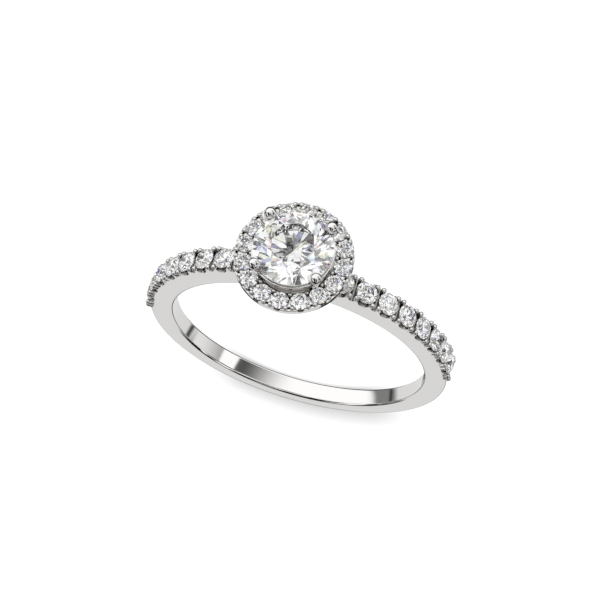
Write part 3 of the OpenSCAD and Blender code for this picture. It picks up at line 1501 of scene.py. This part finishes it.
    def build_grains(
        self, shop: Workshop, finish: Material, repeater: Repeater, stones: Sequence[Stone]
    ) -> list[Object]:
        """Stand the grains along both shoulders.

        Args:
            shop: The workshop.
            finish: The metal.
            repeater: What stands them.
            stones: The shoulders' stones, whose rooms are cut from the grains.

        Returns:
            One piece for each shoulder.
        """
        rows, pieces = self.shoulders, []
        form = grain_form(rows.grain_r, rows.grain_foot)
        for side in Side:
            word, seed = side.name.lower(), rows.grain_seed + side.value
            piece = repeater.stand(
                f"{word}_shoulder_grains", rows.grain_seats(side), form, finish, rows.grain_variety, seed)
            shop.seat_stones(piece, [stone for stone in stones if stone.node.startswith(word)])
            pieces.append(shop.hand_over_metal(piece, finish, Crease.ROUND))
        return pieces


# The head


@dataclass
class Head:
    """The halo, the cup, the gallery ring, the prongs and the head's stones.

    Heights are over the middle of the finger hole, and circles are radii about
    the head's middle line. A scallop is cut into the plate's side at every halo
    stone, a hole is drilled below it, and a pit is drilled in the plate's top
    on both circles of every gap.
    """

    halo_count: int = 16
    halo_circle_r: float = 2.95
    halo_r: float = 3.52
    halo_t: float = 0.42
    halo_h: float = 11.1
    halo_steps: int = 256
    stone_rise: float = 0.05
    edge_r: float = 0.08
    edge_steps: int = 5
    top_edge_r: float = 0.03
    top_edge_steps: int = 3
    scallop_r: float = 0.18
    scallop_reach: float = 0.34
    scallop_length: float = 1.0
    scallop_steps: int = 32
    hole_r: float = 0.2
    hole_start: float = 0.4
    hole_length: float = 1.0
    hole_steps: int = 24
    pit_r: float = 0.08
    pit_depth: float = 0.25
    pit_length: float = 0.5
    pit_steps: int = 16
    pit_circles: tuple[float, float] = (2.66, 3.33)
    grain_foot: float = 0.3
    grain_variety: float = 0.05
    outer_grain_r: float = 0.145
    outer_grain_circle: float = 3.36
    outer_grain_lift: float = 0.05
    outer_grain_angle: float = 3.4
    outer_grain_seed: int = 11
    inner_grain_r: float = 0.14
    inner_grain_circle: float = 2.49
    inner_grain_seed: int = 12
    centre_h: float = 12.49
    centre_turn: float = 6.4
    centre_clear: float = 0.885
    cup_hole_r: float = 2.0
    cup_r: float = 2.25
    cup_lip_r: float = 2.45
    cup_lip_t: float = 0.1
    cup_lip_from: float = 300.0
    cup_lip_to: float = 450.0
    cup_lip_steps: int = 6
    cup_drop: float = 0.22
    cup_flare: float = 0.22
    cup_steps: int = 192
    gallery_r: float = 1.82
    gallery_w: float = 0.5
    gallery_low: float = 9.72
    gallery_t: float = 0.6
    gallery_edge_r: float = 0.12
    prong_r: float = 0.31
    prong_lean: float = 15.0
    prong_angle: float = 42.4
    prong_foot_edge: float = 0.04
    prong_steps: int = 40
    prong_seed: int = 3
    neck_drop: float = 0.3
    neck_run: float = 0.04
    neck_share: float = 0.985
    ball_r: float = 0.365
    ball_reach: float = 2.506
    ball_rise: float = 0.39
    ball_start: float = -50.0
    ball_steps: int = 14
    centre_cut: Brilliant = field(default_factory=lambda: Brilliant(2.35, 96))
    halo_cut: Brilliant = field(default_factory=lambda: Brilliant(0.53, 32, gap=0.045))

    def halo_top(self) -> float:
        """The height of the halo plate's top."""
        return self.halo_h + self.halo_t

    def halo_angle(self, number: float) -> float:
        """The angle of a halo stone, or of the gap half a number after it."""
        return number * 360 / self.halo_count

    def seat(self, radius: float, angle: float, height: float, lean: float = 0.0) -> Seat:
        """A seat on the head.

        Args:
            radius: Its distance from the head's middle line.
            angle: Its angle round that line from the right shoulder.
            height: Its height over the middle of the finger hole.
            lean: How far it leans outwards.

        Returns:
            The seat.
        """
        turn, tip = math.radians(angle), math.radians(lean)
        out = np.array([math.cos(turn), 0.0, -math.sin(turn)])
        head = np.array([0.0, 1.0, 0.0])
        up = math.cos(tip) * head + math.sin(tip) * out
        along = math.cos(tip) * out - math.sin(tip) * head
        return Seat(tuple(out * radius + head * height), tuple(up), tuple(along))

    def stones(self, chance: random.Random) -> list[Stone]:
        """The head's stones.

        Args:
            chance: The source of the halo stones' turns.

        Returns:
            The centre stone, then the halo's stones from the right shoulder round.
        """
        middle = self.seat(0.0, 0.0, self.centre_h)
        made = [Stone("centre_stone", self.centre_cut, middle, -self.centre_turn, self.centre_clear)]
        for i in range(self.halo_count):
            seat = self.seat(self.halo_circle_r, self.halo_angle(i), self.halo_top() + self.stone_rise)
            made.append(Stone(f"halo_stone_{i + 1:02d}", self.halo_cut, seat, chance.uniform(0.0, FOLD)))
        return made

    def _turned(self, name: str, outline: Outline, steps: int) -> Object:
        """Make a closed outline into a ring about the head's middle line."""
        return new_object(name, *self.seat(0.0, 0.0, 0.0).carry(revolved(outline, steps)))

    def _plate_outline(self) -> Outline:
        """The section of the halo's plate.

        Returns:
            Its points as radii and heights.
        """
        low, top, soft, fine = self.halo_h, self.halo_top(), self.edge_r, self.top_edge_r
        outline = [(self.cup_hole_r, low)]
        outline += arc((self.halo_r - soft, low + soft), soft, 270.0, 360.0, self.edge_steps)
        outline += arc((self.halo_r - fine, top - fine), fine, 0.0, 90.0, self.top_edge_steps)
        return outline + [(self.cup_hole_r, top)]

    def _plate_drills(self) -> list[Shape]:
        """The drills for the holes below the halo's stones and for the pits.

        Returns:
            The drills, in their places.
        """
        hole = rod(self.hole_r, self.hole_length, self.hole_steps)
        pit = rod(self.pit_r, self.pit_length, self.pit_steps)
        drills = []
        for i in range(self.halo_count):
            seat = self.seat(self.halo_circle_r, self.halo_angle(i), self.halo_h - self.hole_start)
            drills.append(seat.carry(hole))
        for i in range(self.halo_count):
            for circle in self.pit_circles:
                seat = self.seat(circle, self.halo_angle(i + 0.5), self.halo_top() - self.pit_depth)
                drills.append(seat.carry(pit))
        return drills

    def build_plate(self, shop: Workshop, finish: Material, stones: Sequence[Stone]) -> Object:
        """Make the halo's plate, with its side cuts, seats and drilled holes.

        Args:
            shop: The workshop.
            finish: The metal.
            stones: The head's stones, the centre stone first.

        Returns:
            The piece.
        """
        piece = self._turned("halo_plate", self._plate_outline(), self.halo_steps)
        bore = rod(self.scallop_r, self.scallop_length, self.scallop_steps)
        start = self.halo_r - self.scallop_reach
        angles = [self.halo_angle(i) for i in range(self.halo_count)]
        shop.cut(piece, [self.seat(start, angle, self.halo_top(), 90.0).carry(bore) for angle in angles])
        shop.cut(piece, self._plate_drills())
        shop.seat_stones(piece, stones[1:])
        return shop.hand_over_metal(piece, finish)

    def build_grains(
        self, shop: Workshop, finish: Material, repeater: Repeater, stones: Sequence[Stone]
    ) -> list[Object]:
        """Stand the halo's grains, a pair outside and one inside in every gap.

        Args:
            shop: The workshop.
            finish: The metal.
            repeater: What stands them.
            stones: The head's stones, the centre stone first.

        Returns:
            The outer grains and the inner ones.
        """
        top = self.halo_top()
        high = top + self.outer_grain_lift
        gaps = [self.halo_angle(i + 0.5) for i in range(self.halo_count)]
        places = [gap + side * self.outer_grain_angle for gap in gaps for side in (-1, 1)]
        outer = [self.seat(self.outer_grain_circle, place, high) for place in places]
        inner = [self.seat(self.inner_grain_circle, gap, top) for gap in gaps]
        pieces = []
        for name, seats, radius, seed in (
            ("halo_outer_grains", outer, self.outer_grain_r, self.outer_grain_seed),
            ("halo_inner_grains", inner, self.inner_grain_r, self.inner_grain_seed),
        ):
            form = grain_form(radius, self.grain_foot)
            piece = repeater.stand(name, seats, form, finish, self.grain_variety, seed)
            shop.seat_stones(piece, stones[1:])
            pieces.append(shop.hand_over_metal(piece, finish, Crease.ROUND))
        return pieces

    def build_cup(self, shop: Workshop, finish: Material, stones: Sequence[Stone]) -> Object:
        """Make the cup below the centre stone, with its lip.

        Args:
            shop: The workshop.
            finish: The metal.
            stones: The head's stones, the centre stone first.

        Returns:
            The piece.
        """
        top = self.centre_h - self.cup_drop
        soft = self.cup_lip_t / 2
        outline = [(self.cup_hole_r, self.halo_h), (self.cup_r, self.halo_h)]
        outline += [(self.cup_r, top - self.cup_flare - self.cup_lip_t)]
        outline += [(self.cup_lip_r - soft, top - self.cup_lip_t)]
        middle = (self.cup_lip_r - soft, top - soft)
        outline += arc(middle, soft, self.cup_lip_from, self.cup_lip_to, self.cup_lip_steps)
        outline += [(self.cup_hole_r, top)]
        piece = self._turned("cup", outline, self.cup_steps)
        shop.seat_stones(piece, stones[:1])
        return shop.hand_over_metal(piece, finish, Crease.LIPPED)

    def build_gallery(self, shop: Workshop, finish: Material, hoops: HoopMaker) -> Object:
        """Bend the gallery ring that joins the prongs' feet to the band.

        Args:
            shop: The workshop.
            finish: The metal.
            hoops: What bends it.

        Returns:
            The piece.
        """
        piece = hoops.bend("gallery_ring", {
            "Radius": self.gallery_r,
            "Width": self.gallery_w,
            "Height": self.gallery_t,
            "Rounding": self.gallery_edge_r,
        }, finish)
        lift = self.gallery_low + self.gallery_t / 2
        piece.data.transform(Matrix.Translation((0.0, lift, 0.0)) @ Matrix.Rotation(-math.pi / 2, 4, "X"))
        return shop.hand_over_metal(piece, finish, Crease.ROUND)

    def build_prongs(
        self, shop: Workshop, finish: Material, repeater: Repeater, stones: Sequence[Stone]
    ) -> Object:
        """Stand the four prongs, each with its ball, and notch them for the centre stone.

        Args:
            shop: The workshop.
            finish: The metal.
            repeater: What stands them.
            stones: The head's stones, the centre stone first.

        Returns:
            The piece.
        """
        height = self.centre_h + self.ball_rise
        shaft = (height - self.gallery_low - self.gallery_t / 2) / math.cos(math.radians(self.prong_lean))
        edge = self.prong_foot_edge
        outline = [(0.0, -shaft), (self.prong_r - edge, -shaft), (self.prong_r, -shaft + edge)]
        outline += [(self.prong_r, -self.neck_drop - self.neck_run)]
        outline += [(self.prong_r * self.neck_share, -self.neck_drop)]
        outline += arc((0.0, 0.0), self.ball_r, self.ball_start, 90.0, self.ball_steps)[:-1]
        outline += [(0.0, self.ball_r)]
        angles = (self.prong_angle, 180 - self.prong_angle, 180 + self.prong_angle, -self.prong_angle)
        seats = [self.seat(self.ball_reach, angle, height, self.prong_lean) for angle in angles]
        form = revolved(outline, self.prong_steps)
        piece = repeater.stand("prongs", seats, form, finish, 0.0, self.prong_seed)
        shop.seat_stones(piece, stones[:1])
        return shop.hand_over_metal(piece, finish, Crease.ROUND)


# The studio


@dataclass(frozen=True)
class Card:
    """A soft-edged card of light or dark far from the ring.

    It stands in a direction from the ring, its half sizes are angles, and its
    high axis points along another direction. A feather is how wide an edge is.
    """

    towards: Triple
    along: Triple
    half_wide: float
    half_high: float
    level: float
    feather: float = 5.0
    feather_high: float = 8.0

    def axes(self) -> tuple[Vector, Vector, Vector]:
        """The card's own directions.

        Returns:
            Its wide, high and facing directions.
        """
        towards = Vector(self.towards).normalized()
        along = Vector(self.along)
        high = (along - towards * along.dot(towards)).normalized()
        return high.cross(towards), high, towards

    def mask(self, bench: NodeBench, look: Wire) -> Wire:
        """How much of the card a direction meets.

        Args:
            bench: The world's nodes.
            look: The direction.

        Returns:
            A value from 0 to 1.
        """
        wide, high, towards = self.axes()
        ahead = bench.dot(look, towards)
        masks = []
        for axis, half, feather in (
            (wide, self.half_wide, self.feather),
            (high, self.half_high, self.feather_high),
        ):
            angle = bench.math("ABSOLUTE", bench.math("ARCTAN2", bench.dot(look, axis), ahead))
            inner = math.radians(max(half - feather / 2, 0.0))
            masks.append(1.0 - bench.between(angle, inner, math.radians(half + feather / 2)))
        return masks[0] * masks[1]


@dataclass(frozen=True)
class Spot:
    """A round light or dark that the cut stones gather.

    Its direction is given to the right of the camera, up from it and back
    towards it, its reach is an angle, and its edge is a share of that angle.
    """

    towards: Triple
    reach: float
    colour: Triple
    edge: float = 0.08

    def mask(self, bench: NodeBench, look: Wire, axes: Sequence[Vector]) -> Wire:
        """How much of the spot a direction meets.

        Args:
            bench: The world's nodes.
            look: The direction.
            axes: The camera's right, up and back.

        Returns:
            A value from 0 to 1.
        """
        towards = sum((axis * part for axis, part in zip(axes, self.towards)), Vector()).normalized()
        reach = math.radians(self.reach)
        outer, inner = math.cos(reach * (1 + self.edge)), math.cos(reach * (1 - self.edge))
        return bench.between(bench.dot(look, towards), outer, inner)


@dataclass
class Studio:
    """The table, the soft light about it and the light that falls on the table.

    The dome is the light where no card is. The sparkle is a field of small
    lights and darks that the stones gather. Each of its stops is a place in the
    draw of a light and its level from there on. Red, green and blue look in
    directions that the spread sets apart, and the fire is that split's share.
    The table's radius is in metres.
    """

    cards: tuple[Card, ...]
    spots: tuple[Spot, ...]
    dome: float = 0.22
    table_light: float = 2.0
    table_light_angle: float = 70.0
    table_r: float = 1.5
    table_sides: int = 96
    sparkle_scale: float = 5.5
    sparkle_mix: float = 0.85
    sparkle_gain: float = 1.4
    sparkle_stops: tuple[tuple[float, float], ...] = ((0.0, 0.0), (0.26, 0.3), (0.34, 0.75), (0.44, 1.0))
    colour_steps: Triple = (-1.0, -0.5, 1.0)
    spread: float = 0.03
    fire: float = 0.22
    bounces: int = 16

    def sparkle(self, bench: NodeBench, look: Wire) -> Wire:
        """The small lights and darks of a room, as a level for one direction.

        Args:
            bench: The world's nodes.
            look: The direction.

        Returns:
            The level.
        """
        cells = bench.add("ShaderNodeTexVoronoi", {"feature": "F1"}, {
            "Vector": look, "Scale": self.sparkle_scale, "Randomness": 1.0})
        draws = bench.add("ShaderNodeSeparateColor", inputs={0: bench.wire(cells, "Color")})
        ramp = bench.add("ShaderNodeValToRGB", {"stops": self.sparkle_stops}, {0: bench.wire(draws)})
        ramp.color_ramp.interpolation = "CONSTANT"
        level = bench.add("ShaderNodeSeparateColor", inputs={0: bench.wire(ramp)})
        return bench.wire(level) * self.sparkle_gain

    def gathered(self, bench: NodeBench, look: Wire, axes: Sequence[Vector]) -> Wire:
        """What a cut stone gathers from one direction.

        Its three colours look in slightly different directions, as a stone
        spreads them.

        Args:
            bench: The world's nodes.
            look: The direction.
            axes: The camera's right, up and back.

        Returns:
            The light's colour.
        """
        shift = (axes[0] + axes[1]).normalized() * self.spread
        levels = []
        for step in self.colour_steps:
            shifted = bench.vector_math("ADD", {0: look, 1: tuple(shift * step)})
            levels.append(self.sparkle(bench, shifted))
        split = bench.wire(bench.add("ShaderNodeCombineColor", inputs=dict(enumerate(levels))))
        plain = (levels[0] + levels[1] + levels[2]) * (1 / 3)
        colour = bench.blend(self.fire, plain, split)
        colour = bench.blend(self.sparkle_mix, WHITE, colour)
        for spot in self.spots:
            colour = bench.blend(spot.mask(bench, look, axes), colour, spot.colour)
        return colour

    def build_world(self, axes: Sequence[Vector]) -> None:
        """Build the world: what the camera, the metal and the stones see beyond the table.

        Args:
            axes: The camera's right, up and back.
        """
        world = bpy.data.worlds.new("studio")
        bpy.context.scene.world = world
        world.use_nodes = True
        bench = NodeBench(world.node_tree)
        look = bench.wire(bench.add("ShaderNodeTexCoord"), "Generated")
        level: Wire | float = self.dome
        for card in self.cards:
            level = bench.mix_value(card.mask(bench, look), level, card.level)
        path = bench.add("ShaderNodeLightPath")
        stones = self.gathered(bench, look, axes)
        colour = bench.blend(bench.wire(path, "Is Singular Ray"), bench.scaled(WHITE, level), stones)
        colour = bench.blend(bench.wire(path, "Is Camera Ray"), colour, WHITE)
        bench.fill(world.node_tree.nodes["Background"], {"Color": colour})

    def build_table(self, place: RingPlace) -> Object:
        """Lay the table, which isn't part of the ring.

        Args:
            place: The ring's place.

        Returns:
            The table.
        """
        turns = compass(np.arange(self.table_sides) * 360 / self.table_sides) * self.table_r
        edge = np.column_stack([turns, np.zeros(self.table_sides)])
        table = new_object("table", edge, [tuple(range(self.table_sides))])
        table.data.materials.append(PaleTable(place.centre).make())
        table.visible_glossy = False
        table.visible_transmission = False
        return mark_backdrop(table)

    def build_table_light(self) -> Object:
        """Hang the broad light that the polished metal and the stones don't mirror.

        Returns:
            The light, which shines straight down.
        """
        data = bpy.data.lights.new("table_light", "SUN")
        data.energy = self.table_light
        data.angle = math.radians(self.table_light_angle)
        light = bpy.data.objects.new("table_light", data)
        light.visible_glossy = False
        light.visible_transmission = False
        bpy.context.scene.collection.objects.link(light)
        return light

    def build(self, place: RingPlace, axes: Sequence[Vector]) -> None:
        """Build the whole studio, and set how its light is followed and shown.

        Args:
            place: The ring's place.
            axes: The camera's right, up and back.
        """
        self.build_world(axes)
        self.build_table(place)
        self.build_table_light()
        scene = bpy.context.scene
        scene.view_settings.view_transform = "Standard"
        scene.cycles.max_bounces = self.bounces
        scene.cycles.glossy_bounces = self.bounces
        scene.cycles.transmission_bounces = self.bounces


@dataclass(frozen=True)
class Viewpoint:
    """The camera, at the photo's angle to the ring.

    Its lean is from the head's direction, its turn is from the direction across
    the shoulders to the finger hole's, and its roll is about its own back. The
    offset from the middle of the finger hole is to its right, up and back, in
    the ring's millimetres. The nearest distance that it sees is in metres.
    """

    lean: float = 25.449068
    turn: float = 70.339648
    roll: float = 162.478724
    offset: Triple = (0.007, 2.406, 121.260)
    lens: float = 114.900341
    sensor_width: float = 36.0
    nearest: float = 0.001

    def axes(self, place: RingPlace) -> tuple[Vector, Vector, Vector]:
        """The camera's right, up and back.

        Args:
            place: The ring's place.

        Returns:
            The three directions, in the model's frame.
        """
        lean, turn, roll = (math.radians(a) for a in (self.lean, self.turn, self.roll))
        back = place.direction(
            math.sin(lean) * math.cos(turn), math.cos(lean), math.sin(lean) * math.sin(turn))
        level = (place.finger - back * place.finger.dot(back)).normalized()
        up = math.cos(roll) * level + math.sin(roll) * level.cross(back)
        return up.cross(back), up, back

    def build(self, place: RingPlace) -> Object:
        """Make the camera and look through it.

        Args:
            place: The ring's place.

        Returns:
            The camera.
        """
        axes = self.axes(place)
        data = bpy.data.cameras.new("camera")
        data.lens = self.lens
        data.sensor_width = self.sensor_width
        data.clip_start = self.nearest
        camera = bpy.data.objects.new("camera", data)
        spot = sum((axis * (MM * part) for axis, part in zip(axes, self.offset)), place.centre)
        camera.matrix_world = Matrix.Translation(spot) @ Matrix(axes).transposed().to_4x4()
        bpy.context.scene.collection.objects.link(camera)
        bpy.context.scene.camera = camera
        return camera


def grey(level: float) -> Triple:
    """A colour without a tint."""
    return (level, level, level)


# Directions in the model's frame: down the picture, away from the camera, up
# from the table and along the finger hole.
OVER = (0.240, -0.548, 0.801)
AWAY = (-0.139, -0.836, -0.530)
UPRIGHT = (0.0, 0.0, 1.0)
FINGER = (0.0, -0.141, 0.990)

# Each card's values: the direction it stands in, the direction of its high
# axis, its half width, half height and level, and the widths of its edges.

# The broad lights about the ring, and the broad dark beyond it.
BROAD_CARDS = (
    Card((0.195, 0.674, 0.714), OVER, 62.0, 50.0, 0.85, 20.0, 20.0),
    Card(AWAY, OVER, 68.0, 68.0, 0.035, 12.0, 12.0),
    Card((-0.139, 0.893, -0.429), OVER, 75.0, 39.0, 1.2, 20.0, 14.0),
    Card((-0.139, -0.951, 0.277), UPRIGHT, 57.0, 14.0, 0.79, 14.0),
)
# What the prongs' balls mirror.
BALL_CARDS = (
    Card((-0.67, -0.07, 0.74), OVER, 14.0, 24.0, 1.5, 8.0),
    Card((0.915, -0.155, 0.373), OVER, 14.0, 24.0, 1.5, 8.0),
    Card(OVER, AWAY, 70.0, 15.0, 0.01, 14.0),
    Card((0.180, -0.033, 0.984), OVER, 32.0, 46.0, 0.0, 8.0),
    Card((-0.412, 0.494, 0.765), OVER, 17.0, 20.0, 0.0, 6.0),
    Card((0.932, 0.333, 0.142), OVER, 16.0, 20.0, 0.0, 6.0),
)
# What the band's inside mirrors, in stripes along the finger hole.
HOLE_CARDS = (
    Card((-0.447, 0.84, -0.30), FINGER, 44.0, 9.0, 1.2, 14.0),
    Card((0.45, -0.73, -0.51), FINGER, 34.0, 13.0, 0.8, 8.0),
    Card((0.90, 0.04, -0.40), FINGER, 20.0, 13.0, 0.88, 8.0),
    Card((0.78, -0.41, -0.467), FINGER, 3.0, 9.0, 0.06),
    Card((0.72, 0.62, -0.323), FINGER, 24.0, 13.0, 0.1, 48.0),
    Card((0.835, 0.42, -0.35), FINGER, 8.0, 13.0, 1.2, 3.0),
    Card((-0.905, -0.05, -0.417), FINGER, 14.0, 13.0, 0.25, 26.0),
    Card((-0.90, -0.09, -0.42), FINGER, 2.0, 8.0, 0.04, 4.0),
    Card((-0.66, -0.56, -0.49), FINGER, 25.0, 13.0, 0.82, 8.0),
)
# What the band's rounded inner edge mirrors, light and dark in turn.
EDGE_CARDS = (
    Card((0.68, -0.25, 0.69), OVER, 5.0, 22.0, 0.02, 4.0),
    Card((0.60, -0.08, 0.79), OVER, 5.0, 22.0, 1.3, 4.0),
    Card((0.0, 0.27, 0.96), OVER, 11.0, 22.0, 0.02, 4.0),
    Card((0.19, 0.23, 0.95), OVER, 2.5, 22.0, 1.3, 3.0),
    Card((-0.30, 0.24, 0.92), OVER, 7.0, 22.0, 0.02, 4.0),
    Card((-0.60, 0.07, 0.79), OVER, 7.0, 22.0, 1.3, 4.0),
    Card((-0.75, -0.10, 0.66), OVER, 6.0, 22.0, 0.03, 4.0),
)

# Each spot's values: its direction to the right, up and back, its reach and
# its colour.
DARK_SPOTS = (
    Spot((-0.06, 0.79, 0.61), 4.0, grey(0.25)),
    Spot((0.17, 0.12, 0.98), 8.0, grey(0.0)),
    Spot((0.30, 0.61, 0.74), 5.0, grey(0.02)),
    Spot((0.14, -0.04, 0.99), 4.5, grey(0.0)),
    Spot((0.22, 0.85, 0.48), 5.0, grey(0.08)),
    Spot((0.12, 0.74, 0.67), 3.0, grey(0.1)),
    Spot((-0.37, 0.21, 0.90), 5.0, grey(0.03)),
    Spot((-0.30, -0.21, 0.93), 5.0, grey(0.03)),
    Spot((0.72, 0.49, 0.49), 5.0, grey(0.03)),
    Spot((0.47, 0.44, 0.77), 5.0, grey(0.03)),
    Spot((-0.48, 0.25, 0.84), 3.0, grey(0.05)),
    Spot((-0.20, 0.97, -0.11), 6.0, grey(0.05)),
)
LIGHT_SPOTS = (
    Spot((-0.05, 0.71, 0.70), 5.0, grey(1.2)),
    Spot((-0.64, -0.17, 0.75), 6.0, grey(1.2)),
    Spot((-0.31, 0.33, 0.89), 3.0, grey(1.2)),
    Spot((0.06, -0.22, 0.97), 7.0, grey(1.2)),
    Spot((0.45, 0.68, 0.58), 6.0, grey(1.2)),
    Spot((-0.36, -0.42, 0.83), 3.5, (0.02, 0.14, 1.2)),
)


def main() -> None:
    """Build the camera, the ring and the studio, in that order."""
    logging.basicConfig(level=logging.INFO, format="%(message)s")
    place = RingPlace.from_record(frame["record"])
    viewpoint = Viewpoint()
    viewpoint.build(place)
    shop = Workshop(place)
    chance = random.Random(STONE_SEED)
    polished = WhiteGold("polished_white_gold", place).make()
    bright = WhiteGold("bright_cut_white_gold", place, roughness=0.1).make()
    # The cup's painted shade in its hollows is lighter than the other metal's.
    cup_finish = WhiteGold("cup_white_gold", place, painted_shade_tint=(0.5, 0.48, 0.46)).make()
    stone_finish = CutStone("colourless_stone").make()
    repeater, hoops = Repeater("stand_on_points"), HoopMaker("bend_hoop")
    shoulders, head = Shoulders(), Head()
    row_stones = shoulders.stones(chance)
    head_stones = head.stones(chance)
    band = Band(shoulders)
    band.build(shop, polished, row_stones)
    band.build_grains(shop, bright, repeater, row_stones)
    head.build_plate(shop, polished, head_stones)
    head.build_grains(shop, bright, repeater, head_stones)
    head.build_cup(shop, cup_finish, head_stones)
    head.build_gallery(shop, polished, hoops)
    head.build_prongs(shop, polished, repeater, head_stones)
    for stone in head_stones + row_stones:
        stone.build(shop, stone_finish, chance)
    cards = BROAD_CARDS + BALL_CARDS + HOLE_CARDS + EDGE_CARDS
    Studio(cards, DARK_SPOTS + LIGHT_SPOTS).build(place, viewpoint.axes(place))


if __name__ == "__main__":
    main()
